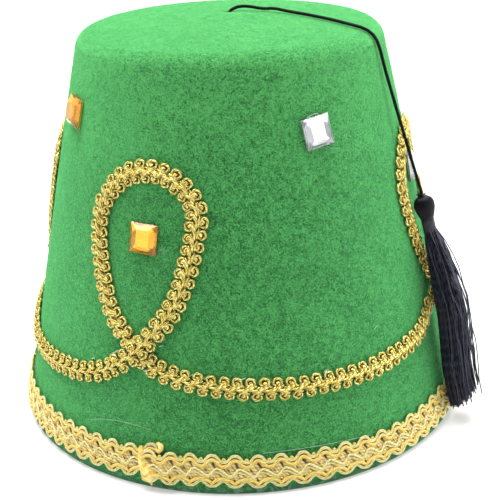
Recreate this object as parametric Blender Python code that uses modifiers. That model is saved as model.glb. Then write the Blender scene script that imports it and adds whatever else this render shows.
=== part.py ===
"""A tall felt fez with a wavy hem braid, a looped scroll braid, glued square stones and a tassel on a cord.

Sizes below are in millimetres and become metres where a vertex is made. The origin is on the crown's axis in
the plane of its rim, +Z is up and -Y is the front. An azimuth is in degrees from the front towards +X. A point
on the side wall is named by its azimuth, its height and how far it stands out from the felt.
"""
import math

import bmesh
import bpy
from mathutils import Matrix, Vector

MM = 0.001
GAP = 0.3                    # air left between two pieces that touch on the real hat

# Crown
RIM_RADIUS = 96.0            # outside, at the bottom: a 59 cm head inside the felt
TOP_RADIUS = 61.5            # where the straight side would meet the edge height
EDGE_HEIGHT = 162.0
EDGE_ROUNDING = 7.7
TOP_RISE = 4.5               # the top disc's middle above its edge
SIDE_BOW = 0.5               # the side swells this much halfway up
FELT = 2.2
CROWN_STEPS = 60
CORD_HOLE_RADIUS = 1.3
ARC_END_DEG = 76.5           # where the rounded edge hands over to the domed top
TOP_RING_SPACING = 0.7       # below 1 the rings of the domed top crowd towards its edge
OUTER_RING_HEIGHTS = (128.0, 98.0, 66.0, 32.0, 0.0)
INNER_RING_HEIGHTS = (98.0, 50.0, 0.0)

# Hem braid. It was stretched a little unevenly as it was glued, so its waves are not all of one length and
# its middle line wanders: both are read from short tables, straight between rows
WAVE_COUNT_AT = (
    # azimuth  waves
    (-23.6, -1.05),
    (-18.0, 0.0),
    (29.6, 9.0),
    (65.6, 16.0),
    (302.9, 63.0),
    (327.4, 68.0),
    (342.0, 71.0),
)
HEM_MIDDLE_AT = (
    # azimuth  height
    (-23.6, 9.9),
    (-7.0, 10.0),
    (13.0, 9.2),
    (24.0, 8.9),
    (38.0, 8.2),
    (50.0, 9.0),
    (62.0, 9.6),
    (90.0, 9.9),
    (342.0, 9.9),
)
WAVE_SECTIONS = (
    # share_of_wave  crest
    (-0.2, 1.0),
    (0.2, 1.0),
    (0.5, -1.0),
)
HEM_HALF_HEIGHT = 5.7        # from the middle line to halfway up the scallops
HEM_WAVE = 1.3               # a scallop's tip beyond that, and its notch short of that
HEM_EDGE_THICKNESS = 1.2
HEM_MIDDLE_THICKNESS = 1.7
LAP_LENGTH = 5.0             # degrees by which its end passes over its beginning
LAP_RAMP = 4.5               # degrees over which the end climbs
LAP_FOLD = 4.5               # the end is folded in this much from below
LAP_TUCK = 1.5               # and this much from above

# Scroll braid
SCROLL_PITCH = 5.5           # from one ring to the next on the same edge
RING_REACH = 4.65            # from the middle of the braid to the tip of a ring
NOTCH_REACH = 3.5            # from the middle of the braid to the notch between rings
SCROLL_EDGE_THICKNESS = 1.1
SCROLL_MIDDLE_THICKNESS = 1.5
CROSSING_FLAT = 9.5          # half the stretch that rides on the strand below
CROSSING_RAMP = 8.0
NEAREST_CROSSING = 20        # the strip meets itself no sooner and no later than this many marks on
FARTHEST_CROSSING = 120
UNROLL_HEIGHT = 80.0         # the wall is unrolled at its radius here to draw the route flat
ROUTE_DETAIL = 12            # points drawn between two rows of a route

# One row for each loop: the azimuth of its middle, how much higher its rising strand comes in, and the height
# of the swag that leaves it
LOOPS = (
    # azimuth  entry_lift  swag_height
    (-26.3, 0.0, 39.6),
    (77.2, 12.0, 39.0),
    (166.0, 3.0, 38.0),
    (255.5, 4.0, 35.2),
)
SWAG_DIP = 0.8               # the middle of a swag hangs this much below its quarters

# The route of one loop about its middle: azimuth from the middle, height, share of the entry lift
LOOP_ROUTE = (
    # azimuth  height  lift
    (-19.4, 37.9, 0.55),
    (-12.5, 40.8, 0.90),
    (-5.4, 46.7, 1.00),
    (0.1, 53.7, 1.00),
    (4.6, 61.2, 0.80),
    (8.7, 69.8, 0.45),
    (11.6, 78.7, 0.20),
    (13.6, 88.5, 0.0),
    (15.2, 98.7, 0.0),
    (15.7, 106.5, 0.0),
    (13.2, 113.0, 0.0),
    (8.8, 117.7, 0.0),
    (1.0, 120.2, 0.0),
    (-6.5, 118.1, 0.0),
    (-12.0, 112.1, 0.0),
    (-15.6, 104.2, 0.0),
    (-16.1, 96.0, 0.0),
    (-14.6, 85.0, 0.0),
    (-11.8, 73.4, 0.0),
    (-8.9, 64.6, 0.0),
    (-2.6, 55.5, 0.0),
    (3.1, 48.6, 0.0),
    (7.8, 45.7, 0.0),
    (15.5, 43.0, 0.0),
)

# Stones
GEM_SIDE = 11.6
GEM_GIRDLE = 0.9             # height of the upright edge
GEM_HEIGHT = 3.1
TABLE_HALF = 3.5
TABLE_CORNER = 1.1           # cut off each corner of the table
GEMS = (
    # name              azimuth height turn_deg colour
    ("gem_loop_front", -26.4, 95.4, -2.5, "amber"),
    ("gem_mid_front_right", 27.2, 132.0, 7.5, "clear"),
    ("gem_loop_right", 74.5, 104.5, -9.0, "clear"),
    ("gem_mid_back_right", 121.5, 132.5, -5.0, "amber"),
    ("gem_loop_back", 166.5, 97.0, 4.0, "amber"),
    ("gem_mid_back_left", 211.0, 131.0, 6.0, "clear"),
    ("gem_loop_left", 255.0, 98.0, -4.0, "clear"),
    ("gem_mid_front_left", 296.6, 134.9, -3.0, "amber"),
)

# The cord's route over the top: x, y and how much higher it runs than where it would lie on the felt
CORD_RADIUS = 0.8
CORD_CLEAR = 0.4             # from the felt to the underside of the lying cord
CORD_POINTS = 46
CORD_OVER_TOP = (
    # x     y      higher
    (0.0, 0.0, -3.1),
    (0.15, 0.0, -0.8),
    (2.4, 0.2, 0.9),
    (5.6, 0.1, 1.1),
    (9.2, 0.1, 0.2),
    (14.2, -0.8, 0.0),
    (18.2, -2.4, 0.6),
    (23.5, -5.2, 0.05),
    (31.0, -10.2, 0.0),
    (39.0, -15.8, 0.0),
    (46.4, -21.4, 0.0),
    (51.4, -25.4, 0.0),
)
CORD_OVER_EDGE = (
    # turn_deg  azimuth
    (66.0, 63.8),
    (45.0, 64.1),
    (24.0, 64.4),
)
CORD_BOW = 2.2               # sideways bow of the hanging stretch, a quarter of this at its middle

# The tassel's place, and its sections down its own axis: distance below the head's top, half-width along the
# wall, half-depth out from the wall, shift along and out from the wall, depth of the grooves between locks
HANG_AZIMUTH = 66.6
HEAD_TOP_RADIUS = 82.0       # the head's top, from the crown's axis
HEAD_TOP_HEIGHT = 95.6
HANG_TILT_DEG = 14.1         # the tassel leans out with the side wall
NECK_RADIUS = 1.9
TASSEL_SECTIONS = (
    # drop  width depth sway  out   groove
    (0.5, 1.5, 1.5, 0.0, 0.0, 0.00),
    (1.8, 3.2, 3.2, 0.0, 0.0, 0.00),
    (4.2, 4.1, 4.0, 0.0, 0.0, 0.03),
    (6.6, 3.5, 3.4, 0.0, 0.0, 0.03),
    (8.0, NECK_RADIUS, NECK_RADIUS, 0.0, 0.0, 0.00),
    (15.0, NECK_RADIUS, NECK_RADIUS, 0.0, 0.0, 0.00),
    (16.4, 3.0, 2.9, 0.0, 0.2, 0.05),
    (29.0, 5.0, 4.5, -2.0, 1.7, 0.09),
    (46.0, 6.6, 5.5, -2.4, 2.4, 0.12),
    (62.0, 7.4, 6.2, -2.2, 1.0, 0.16),
    (74.0, 7.6, 6.3, -3.2, 0.0, 0.20),
)
LOCKS = 10
LOCK_END_SECTIONS = (
    # drop_at_tip  drop_at_groove  width depth sway  out   groove
    (79.5, 79.0, 7.6, 6.3, -3.5, 0.0, 0.25),
    (85.6, 82.6, 7.0, 5.8, -3.9, 0.0, 0.42),
)
LOCK_UNEVENNESS = 1.5        # how far a lock ends above or below the average
LOCK_TURN = 2.4              # from one row of the tassel's points to the next, in that unevenness
LOCK_SLANT = 3.5             # the locks next to the wall and nearer the front end this much lower
SKIRT_HOLLOW_DROP = 76.0
BINDING_TOP_DROP = 8.4
BINDING_BOTTOM_DROP = 14.7
BINDING_RADIUS = 2.75
BINDING_GROOVE = 0.35
BINDING_WRAPS = 4
BINDING_STEPS = 14

COLOURS = {
    # name         colour (linear)         roughness metallic transmission
    "green_felt": ((0.045, 0.33, 0.085), 0.95, 0.0, 0.0),
    "gold_gimp": ((0.86, 0.62, 0.20), 0.45, 0.0, 0.0),
    "gold_metallic": ((0.90, 0.66, 0.18), 0.32, 0.8, 0.0),
    "amber_stone": ((0.95, 0.48, 0.05), 0.05, 0.0, 0.6),
    "clear_stone": ((0.90, 0.90, 0.93), 0.05, 0.0, 0.6),
    "black_cord": ((0.012, 0.012, 0.018), 0.6, 0.0, 0.0),
}


def make_material(name):
    colour, roughness, metallic, transmission = COLOURS[name]
    material = bpy.data.materials.new(name)
    material.use_nodes = True
    shader = material.node_tree.nodes["Principled BSDF"]
    shader.inputs["Base Color"].default_value = (*colour, 1.0)
    shader.inputs["Roughness"].default_value = roughness
    shader.inputs["Metallic"].default_value = metallic
    shader.inputs["Transmission Weight"].default_value = transmission
    return material


def add_object(name, mesh, material, collection, smooth_angle=None):
    mesh.materials.clear()
    mesh.materials.append(material)
    if smooth_angle is not None:
        mesh.shade_smooth()
        mesh.set_sharp_from_angle(angle=math.radians(smooth_angle))
    obj = bpy.data.objects.new(name, mesh)
    collection.objects.link(obj)
    return obj


def loft_mesh(name, rings, closed=False, tail=None):
    """Joins rings of points (in mm) into one body; tail is a single point that closes the last ring."""
    bm = bmesh.new()
    rows = [[bm.verts.new(Vector(p) * MM) for p in ring] for ring in rings]
    count = len(rows[0])
    pairs = list(zip(rows, rows[1:]))
    if closed:
        pairs.append((rows[-1], rows[0]))
    for a, b in pairs:
        for i in range(count):
            j = (i + 1) % count
            bm.faces.new((a[i], a[j], b[j], b[i]))
    if not closed:
        bm.faces.new(list(reversed(rows[0])))
        if tail is None:
            bm.faces.new(rows[-1])
        else:
            tip = bm.verts.new(Vector(tail) * MM)
            for i in range(count):
                bm.faces.new((rows[-1][i], rows[-1][(i + 1) % count], tip))
    bmesh.ops.recalc_face_normals(bm, faces=bm.faces)
    mesh = bpy.data.meshes.new(name)
    bm.to_mesh(mesh)
    bm.free()
    return mesh


# ---- The felt wall -------------------------------------------------------------------------------------

SIDE_LEAN = math.atan2(RIM_RADIUS - TOP_RADIUS, EDGE_HEIGHT)
ARC_HEIGHT = EDGE_HEIGHT - EDGE_ROUNDING
ARC_RADIUS = (RIM_RADIUS - (RIM_RADIUS - TOP_RADIUS) * ARC_HEIGHT / EDGE_HEIGHT
              - EDGE_ROUNDING / math.cos(SIDE_LEAN))
SIDE_END = ARC_HEIGHT + EDGE_ROUNDING * math.sin(SIDE_LEAN)


def side_radius(height):
    """Outside radius of the side wall, which is straight but for a slight swelling."""
    t = max(0.0, min(1.0, height / SIDE_END))
    return RIM_RADIUS - (RIM_RADIUS - TOP_RADIUS) * height / EDGE_HEIGHT + SIDE_BOW * 4 * t * (1 - t)


def direction(azimuth):
    a = math.radians(azimuth)
    return Vector((math.sin(a), -math.cos(a), 0.0))


def wall_normal(azimuth):
    return direction(azimuth) * math.cos(SIDE_LEAN) + Vector((0, 0, math.sin(SIDE_LEAN)))


def on_wall(azimuth, height, out=0.0):
    """The point at this azimuth and height that stands out from the felt by out."""
    return direction(azimuth) * side_radius(height) + Vector((0, 0, height)) + wall_normal(azimuth) * out


def top_face(radius, inset=0.0):
    """Height of the domed top, or of the face that runs inset below it."""
    rounding = EDGE_ROUNDING - inset
    arc_end = math.radians(ARC_END_DEG)
    edge_radius = ARC_RADIUS + rounding * math.cos(arc_end)
    return ARC_HEIGHT + rounding * math.sin(arc_end) + TOP_RISE * (1 - (radius / edge_radius) ** 2)


def crown_face(inset, top_rings, arc_rings, side_heights):
    """(radius, height) down one face of the wall, from the hole in the top to the rim."""
    rounding = EDGE_ROUNDING - inset
    arc_end = math.radians(ARC_END_DEG)
    across = ARC_RADIUS + rounding * math.cos(arc_end) - CORD_HOLE_RADIUS
    points = []
    for i in range(top_rings):
        radius = CORD_HOLE_RADIUS + across * (i / top_rings) ** TOP_RING_SPACING
        points.append((radius, top_face(radius, inset)))
    for i in range(arc_rings + 1):
        a = arc_end + (SIDE_LEAN - arc_end) * i / arc_rings
        points.append((ARC_RADIUS + rounding * math.cos(a), ARC_HEIGHT + rounding * math.sin(a)))
    wall = inset / math.cos(SIDE_LEAN)
    points.extend((side_radius(z) - wall, z) for z in side_heights)
    return points


def build_crown(collection, material):
    """The section of the felt wall, turned about the crown's axis."""
    outer = crown_face(0.0, 4, 4, OUTER_RING_HEIGHTS)
    inner = crown_face(FELT, 3, 3, INNER_RING_HEIGHTS)
    bm = bmesh.new()
    verts = [bm.verts.new((r * MM, 0.0, z * MM)) for r, z in outer + inner[::-1]]
    for a, b in zip(verts, verts[1:] + verts[:1]):
        bm.edges.new((a, b))
    section = bpy.data.meshes.new("crown_section")
    bm.to_mesh(section)
    bm.free()
    crown = bpy.data.objects.new("felt_crown", section)
    collection.objects.link(crown)
    screw = crown.modifiers.new("turn", "SCREW")
    screw.axis = "Z"
    screw.angle = math.tau
    screw.steps = CROWN_STEPS
    screw.render_steps = CROWN_STEPS
    screw.use_merge_vertices = True
    screw.merge_threshold = 0.00001
    turned = bpy.data.meshes.new_from_object(crown.evaluated_get(bpy.context.evaluated_depsgraph_get()))
    bpy.data.objects.remove(crown, do_unlink=True)
    add_object("felt_crown", turned, material, collection, 40)


# ---- The braids ----------------------------------------------------------------------------------------

def smooth_step(x):
    x = max(0.0, min(1.0, x))
    return x * x * (3 - 2 * x)


def braid_section(azimuth, low, high, lift):
    """A flat braid's cross-section, upright on the wall: five points, thickest in the middle."""
    middle = (low + high) / 2
    return [
        on_wall(azimuth, low, GAP + lift),
        on_wall(azimuth, low, GAP + lift + HEM_EDGE_THICKNESS),
        on_wall(azimuth, middle, GAP + lift + HEM_MIDDLE_THICKNESS),
        on_wall(azimuth, high, GAP + lift + HEM_EDGE_THICKNESS),
        on_wall(azimuth, high, GAP + lift),
    ]


def read_table(table, x):
    """The second column where the first is x, straight between rows."""
    for (x0, y0), (x1, y1) in zip(table, table[1:]):
        if x <= x1:
            break
    return y0 + (y1 - y0) * (x - x0) / (x1 - x0)


def build_hem_braid(collection, material):
    """A strip that goes once round the rim and passes over its own start, with scallops on both edges."""
    azimuth_of_wave = [(waves, azimuth) for azimuth, waves in WAVE_COUNT_AT]
    first, last = azimuth_of_wave[0], azimuth_of_wave[-1]
    stations = []
    for wave in range(math.floor(first[0]), math.ceil(last[0]) + 1):
        for share, crest in WAVE_SECTIONS:
            if first[0] <= wave + share <= last[0]:
                stations.append((read_table(azimuth_of_wave, wave + share), crest))
    climb = HEM_MIDDLE_THICKNESS + GAP
    rings = []
    for azimuth, crest in stations:
        reach = HEM_HALF_HEIGHT + HEM_WAVE * crest
        low = read_table(HEM_MIDDLE_AT, azimuth) - reach
        high = read_table(HEM_MIDDLE_AT, azimuth) + reach
        over = azimuth - (first[1] + 360.0)
        lift = climb * smooth_step((over + LAP_RAMP) / (LAP_RAMP - 1.0))
        narrowing = smooth_step(over / LAP_LENGTH)
        low += LAP_FOLD * narrowing
        high -= LAP_TUCK * narrowing
        rings.append(braid_section(azimuth, low, high, lift))
    add_object("hem_braid", loft_mesh("hem_braid", rings), material, collection, 35)


def swing(points, per_span):
    """A smooth curve through the points: centripetal Catmull-Rom, read per_span times in each span."""
    ends = [points[0] * 2 - points[1]] + list(points) + [points[-1] * 2 - points[-2]]
    result = []
    for i in range(len(points) - 1):
        p = ends[i:i + 4]
        t = [0.0]
        for a, b in zip(p, p[1:]):
            t.append(t[-1] + (b - a).length ** 0.5)
        for s in range(per_span):
            u = t[1] + (t[2] - t[1]) * s / per_span
            a1 = p[0].lerp(p[1], u / t[1])
            a2 = p[1].lerp(p[2], (u - t[1]) / (t[2] - t[1]))
            a3 = p[2].lerp(p[3], (u - t[2]) / (t[3] - t[2]))
            b1 = a1.lerp(a2, u / t[2])
            b2 = a2.lerp(a3, (u - t[1]) / (t[3] - t[1]))
            result.append(b1.lerp(b2, (u - t[1]) / (t[2] - t[1])))
    result.append(points[-1].copy())
    return result


def evenly(points, steps, place=lambda p: p):
    """The polyline read again at steps + 1 even distances, which are measured between placed points."""
    run = [0.0]
    for a, b in zip(points, points[1:]):
        run.append(run[-1] + (place(b) - place(a)).length)
    result = []
    k = 0
    for i in range(steps + 1):
        s = run[-1] * i / steps
        while k < len(points) - 2 and run[k + 1] < s:
            k += 1
        result.append(points[k].lerp(points[k + 1], (s - run[k]) / (run[k + 1] - run[k])))
    return result


def scroll_route():
    """The whole round of swags and loops as (azimuth, height) rows, four loops one after another."""
    rows = []
    middles = [loop[0] for loop in LOOPS] + [LOOPS[0][0] + 360.0]
    for i, (middle, entry_lift, swag_height) in enumerate(LOOPS):
        for azimuth, height, share in LOOP_ROUTE:
            rows.append((middle + azimuth, height + share * entry_lift))
        begin, end = middle + LOOP_ROUTE[-1][0], middles[i + 1] + LOOP_ROUTE[0][0]
        for t in (0.25, 0.5, 0.75):
            rows.append((begin + (end - begin) * t, swag_height + SWAG_DIP * (4 * t - 2) ** 2))
    return rows


def crossings(marks):
    """The places (as fractional mark numbers) where the strip passes over a later part of itself."""
    found = []
    for i in range(len(marks) - 1):
        for j in range(i + NEAREST_CROSSING, min(len(marks) - 1, i + FARTHEST_CROSSING)):
            p, r = marks[i], marks[i + 1] - marks[i]
            q, s = marks[j], marks[j + 1] - marks[j]
            cross = r.x * s.y - r.y * s.x
            if cross == 0.0:
                continue
            t = ((q - p).x * s.y - (q - p).y * s.x) / cross
            u = ((q - p).x * r.y - (q - p).y * r.x) / cross
            if 0 <= t < 1 and 0 <= u < 1:
                found.append(i + t)
    return found


def build_scroll_braid(collection, material):
    """One endless strip: rings of the two edges are staggered, and each loop's rising strand rides over."""
    # The route is drawn on the wall unrolled at one mean radius, then set back on the wall
    unroll = math.radians(1.0) * side_radius(UNROLL_HEIGHT)
    turn = Vector((360.0 * unroll, 0.0, 0.0))
    knots = [Vector((azimuth * unroll, height, 0.0)) for azimuth, height in scroll_route()]
    knots = [knots[-1] - turn] + knots + [knots[0] + turn, knots[1] + turn]
    drawn = swing(knots, ROUTE_DETAIL)[ROUTE_DETAIL:-ROUTE_DETAIL]

    def place(p):
        return on_wall(p.x / unroll, p.y)

    total = sum((place(b) - place(a)).length for a, b in zip(drawn, drawn[1:]))
    count = 2 * round(total / SCROLL_PITCH)
    marks = evenly(drawn, count, place)
    step = total / count
    over = crossings(marks)

    rings = []
    for i in range(count):
        before = place(marks[i - 1] if i else marks[count - 1] - turn)
        along = (place(marks[i + 1]) - before).normalized()
        normal = wall_normal(marks[i].x / unroll)
        across = normal.cross(along).normalized()
        nearest = min(abs(i - m) for m in over) * step
        climb = smooth_step((CROSSING_FLAT + CROSSING_RAMP - nearest) / CROSSING_RAMP)
        base = place(marks[i]) + normal * (GAP + (SCROLL_MIDDLE_THICKNESS + GAP) * climb)
        reach = (RING_REACH, NOTCH_REACH)
        left, right = reach[i % 2], reach[1 - i % 2]
        rings.append([
            base - across * left,
            base - across * left + normal * SCROLL_EDGE_THICKNESS,
            base + normal * SCROLL_MIDDLE_THICKNESS,
            base + across * right + normal * SCROLL_EDGE_THICKNESS,
            base + across * right,
        ])
    mesh = loft_mesh("scroll_braid", rings, closed=True)
    add_object("scroll_braid", mesh, material, collection, 35)


# ---- The stones ----------------------------------------------------------------------------------------

def gem_mesh(name):
    """A flat-backed square stone: upright girdle, four long facets, four corner facets and a table."""
    half = GEM_SIDE / 2
    cut = TABLE_HALF - TABLE_CORNER
    bm = bmesh.new()
    for sx in (-1, 1):
        for sy in (-1, 1):
            for x, y, z in ((half, half, 0.0), (half, half, GEM_GIRDLE),
                            (TABLE_HALF, cut, GEM_HEIGHT), (cut, TABLE_HALF, GEM_HEIGHT)):
                bm.verts.new((sx * x * MM, sy * y * MM, z * MM))
    bmesh.ops.convex_hull(bm, input=bm.verts)
    bmesh.ops.dissolve_limit(bm, angle_limit=math.radians(1.0), verts=bm.verts, edges=bm.edges)
    bmesh.ops.recalc_face_normals(bm, faces=bm.faces)
    mesh = bpy.data.meshes.new(name)
    bm.to_mesh(mesh)
    bm.free()
    return mesh


def build_gems(collection, materials):
    meshes = {colour: gem_mesh("gem_" + colour) for colour in ("amber", "clear")}
    for name, azimuth, height, turn, colour in GEMS:
        gem = add_object(name, meshes[colour], materials[colour + "_stone"], collection)
        normal = wall_normal(azimuth)
        right = Vector((0, 0, 1)).cross(direction(azimuth)).normalized()
        up = normal.cross(right).normalized()
        frame = Matrix((right, up, normal)).transposed().to_4x4()
        spin = Matrix.Rotation(math.radians(turn), 4, "Z")
        gem.matrix_world = Matrix.Translation(on_wall(azimuth, height, GAP) * MM) @ frame @ spin


# ---- Cord and tassel -----------------------------------------------------------------------------------

def hang_frame():
    """Tassel axes: z up its own axis, x out from the wall, y along the wall; the origin is the head's top."""
    tilt = math.radians(HANG_TILT_DEG)
    out = direction(HANG_AZIMUTH)
    up = Vector((0, 0, 1)) * math.cos(tilt) - out * math.sin(tilt)
    forward = out * math.cos(tilt) + Vector((0, 0, 1)) * math.sin(tilt)
    side = up.cross(forward)
    frame = Matrix((forward, side, up)).transposed().to_4x4()
    origin = direction(HANG_AZIMUTH) * HEAD_TOP_RADIUS + Vector((0, 0, HEAD_TOP_HEIGHT))
    return Matrix.Translation(origin * MM) @ frame


def lock_ring(drop_tip, drop_groove, width, depth, sway, out, groove, uneven=False):
    """One section of the tassel: ten locks with a groove between each two."""
    ring = []
    for i in range(2 * LOCKS):
        a = math.tau * i / (2 * LOCKS)
        tip = i % 2 == 0
        reach = 1.0 if tip else 1.0 - groove
        drop = drop_tip if tip else drop_groove
        if uneven:
            drop += LOCK_UNEVENNESS * math.sin(LOCK_TURN * i) - LOCK_SLANT * math.sin(a + math.pi / 4)
        ring.append((out + depth * reach * math.cos(a), sway + width * reach * math.sin(a), -drop))
    return ring


def build_tassel(collection, materials):
    hang = bpy.data.objects.new("tassel_hang", None)
    hang.empty_display_size = 0.01
    hang.matrix_world = hang_frame()
    collection.objects.link(hang)

    rings = [lock_ring(drop, drop, width, depth, sway, out, groove)
             for drop, width, depth, sway, out, groove in TASSEL_SECTIONS]
    rings += [lock_ring(*row, uneven=True) for row in LOCK_END_SECTIONS]
    mesh = loft_mesh("tassel", rings, tail=(0.0, LOCK_END_SECTIONS[0][4], -SKIRT_HOLLOW_DROP))
    tassel = add_object("tassel", mesh, materials["black_cord"], collection, 50)
    tassel.parent = hang

    length = BINDING_BOTTOM_DROP - BINDING_TOP_DROP
    profile = [(NECK_RADIUS + GAP, -BINDING_TOP_DROP)]
    for i in range(2 * BINDING_WRAPS + 1):
        radius = BINDING_RADIUS if i % 2 else BINDING_RADIUS - BINDING_GROOVE
        profile.append((radius, -BINDING_TOP_DROP - length * i / (2 * BINDING_WRAPS)))
    profile.append((NECK_RADIUS + GAP, -BINDING_BOTTOM_DROP))
    turns = []
    for k in range(BINDING_STEPS):
        a = math.tau * k / BINDING_STEPS
        turns.append([(r * math.cos(a), r * math.sin(a), z) for r, z in profile])
    mesh = loft_mesh("tassel_binding", turns, closed=True)
    binding = add_object("tassel_binding", mesh, materials["black_cord"], collection, 50)
    binding.parent = hang


def build_cord(collection, material):
    """From the hole over the top, round the edge and down to the tassel's head."""
    lying = CORD_RADIUS + CORD_CLEAR
    points = [Vector((x, y, top_face(math.hypot(x, y)) + lying + higher)) for x, y, higher in CORD_OVER_TOP]
    reach = EDGE_ROUNDING + lying
    for turn, azimuth in CORD_OVER_EDGE:
        a = math.radians(turn)
        out = direction(azimuth) * (ARC_RADIUS + reach * math.cos(a))
        points.append(out + Vector((0, 0, ARC_HEIGHT + reach * math.sin(a))))
    start = points[-1]
    end = hang_frame().translation / MM + Vector((0, 0, CORD_CLEAR))
    sideways = direction(HANG_AZIMUTH - 90.0) * CORD_BOW
    for t in (0.2, 0.5, 0.8, 1.0):
        points.append(start.lerp(end, t) + sideways * t * (1 - t))
    path = evenly(swing(points, ROUTE_DETAIL), CORD_POINTS)
    curve = bpy.data.curves.new("tassel_cord", "CURVE")
    curve.dimensions = "3D"
    curve.bevel_depth = CORD_RADIUS * MM
    curve.bevel_resolution = 2
    curve.use_fill_caps = True
    spline = curve.splines.new("POLY")
    spline.points.add(len(path) - 1)
    for target, p in zip(spline.points, path):
        target.co = (p.x * MM, p.y * MM, p.z * MM, 1.0)
    curve.materials.append(material)
    cord = bpy.data.objects.new("tassel_cord", curve)
    collection.objects.link(cord)


for old in list(bpy.data.objects):
    bpy.data.objects.remove(old, do_unlink=True)
fez = bpy.data.collections.new("fez_hat")
bpy.context.scene.collection.children.link(fez)
materials = {name: make_material(name) for name in COLOURS}
build_crown(fez, materials["green_felt"])
build_hem_braid(fez, materials["gold_gimp"])
build_scroll_braid(fez, materials["gold_metallic"])
build_gems(fez, materials)
build_tassel(fez, materials)
build_cord(fez, materials["black_cord"])
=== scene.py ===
import math
import random

import bmesh
import bpy
from mathutils import Matrix, Vector


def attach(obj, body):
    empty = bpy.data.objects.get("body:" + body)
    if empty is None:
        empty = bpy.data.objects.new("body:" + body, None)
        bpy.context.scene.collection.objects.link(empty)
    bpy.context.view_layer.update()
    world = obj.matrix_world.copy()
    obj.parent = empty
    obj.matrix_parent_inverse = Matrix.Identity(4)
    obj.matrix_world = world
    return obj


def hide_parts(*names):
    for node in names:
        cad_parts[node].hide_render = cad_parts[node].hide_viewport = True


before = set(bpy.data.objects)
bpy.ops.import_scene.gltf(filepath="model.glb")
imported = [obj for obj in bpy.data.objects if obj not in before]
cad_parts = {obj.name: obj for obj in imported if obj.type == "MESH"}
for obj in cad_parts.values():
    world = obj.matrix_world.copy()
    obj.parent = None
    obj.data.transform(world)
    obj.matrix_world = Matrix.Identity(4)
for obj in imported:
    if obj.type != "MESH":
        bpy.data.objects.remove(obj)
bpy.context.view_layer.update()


# ---- Table, light and camera ---------------------------------------------------------------------------
# The hat stands on a white table inside a white light tent: bright above, half as bright at its sides and
# back, and dark at its open front, where the camera stands. The camera is tipped two degrees to its right.

scene = bpy.context.scene
scene.view_settings.view_transform = "Standard"
CAMERA_PLACE = (0.00525, -0.46405, 0.24718)
CAMERA_AIM = (0.00525, 0.0, 0.06195)
CAMERA_TIP = math.radians(-2.04)
CAMERA_LENS = 81.78


def add_object(name, data):
    obj = bpy.data.objects.new(name, data)
    scene.collection.objects.link(obj)
    return obj


def facing(place, aim):
    """Stands a camera or a light at a place and turns its front to its aim."""
    turn = (Vector(aim) - Vector(place)).to_track_quat("-Z", "Y").to_matrix().to_4x4()
    return Matrix.Translation(place) @ turn


camera_data = bpy.data.cameras.new("camera")
camera_data.lens = CAMERA_LENS
camera_data.sensor_width = 36.0
camera_data.clip_start = 0.02
camera_data.clip_end = 30.0
camera = add_object("camera", camera_data)
camera.matrix_world = facing(CAMERA_PLACE, CAMERA_AIM) @ Matrix.Rotation(CAMERA_TIP, 4, "Z")
scene.camera = camera


def put(tree, kind, inputs=None, output=0, **settings):
    """Adds a node: its settings first, then its inputs, linked where a socket is given. Returns one output.

    Inputs and the output go by number or name, or by identifier where several sockets have the same name.
    """
    def pick(sockets, key):
        if isinstance(key, str) and key not in sockets:
            return next(s for s in sockets if s.identifier == key)
        return sockets[key]

    made = tree.nodes.new(kind)
    for name, value in settings.items():
        setattr(made, name, value)
    for key, value in (inputs or {}).items():
        if isinstance(value, bpy.types.NodeSocket):
            tree.links.new(value, pick(made.inputs, key))
        else:
            pick(made.inputs, key).default_value = value
    return pick(made.outputs, output)


def maths(operation, *values, kind="ShaderNodeMath"):
    """A math node, in the tree of the sockets among its values."""
    tree = next(v.id_data for v in values if isinstance(v, bpy.types.NodeSocket))
    return put(tree, kind, dict(enumerate(values)), operation=operation)


def ranged(value, low, high, to_low=0.0, to_high=1.0, kind="LINEAR"):
    """Runs from to_low to to_high while value runs from low to high, and stays there beyond."""
    return put(value.id_data, "ShaderNodeMapRange",
               {"Value": value, "From Min": low, "From Max": high, "To Min": to_low, "To Max": to_high},
               interpolation_type=kind)


def parts_of(vector):
    """The outputs X, Y and Z of a vector."""
    return put(vector.id_data, "ShaderNodeSeparateXYZ", {0: vector}).node.outputs


def new_material(name, colour, roughness, **sockets):
    """A material, its tree and its shader. Each other value goes to the socket named for it."""
    material = bpy.data.materials.new(name)
    material.use_nodes = True
    tree = material.node_tree
    shader = tree.nodes["Principled BSDF"]
    shader.inputs["Base Color"].default_value = (*colour, 1.0)
    shader.inputs["Roughness"].default_value = roughness
    for key, value in sockets.items():
        shader.inputs[key.replace("_", " ")].default_value = value
    return material, tree, shader


def add_mesh(name, bm, material):
    """A new object that shows this bmesh in this material."""
    mesh = bpy.data.meshes.new(name)
    bm.to_mesh(mesh)
    bm.free()
    mesh.materials.append(material)
    return add_object(name, mesh)


TENT_LEAST = 0.06            # how bright the tent is where nothing below adds to it
TENT_ABOVE = 0.98
TENT_SIDES = 0.58
TENT_BACK = 0.5

tent = bpy.data.worlds.new("light_tent")
tent.use_nodes = True
tree = tent.node_tree
toward = parts_of(put(tree, "ShaderNodeTexCoord", output="Generated"))
above = maths("POWER", maths("MAXIMUM", toward["Z"], 0.0), 1.4)
sides = ranged(maths("ABSOLUTE", toward["X"]), 0.42, 0.80, kind="SMOOTHSTEP")
back = maths("MAXIMUM", toward["Y"], 0.0)
glow = maths("MULTIPLY_ADD", above, TENT_ABOVE, TENT_LEAST)
glow = maths("MULTIPLY_ADD", sides, TENT_SIDES, glow)
glow = maths("MULTIPLY_ADD", back, TENT_BACK, glow)
tree.nodes["Background"].inputs["Color"].default_value = (1.0, 1.0, 1.0, 1.0)
tree.links.new(glow, tree.nodes["Background"].inputs["Strength"])
scene.world = tent


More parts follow.
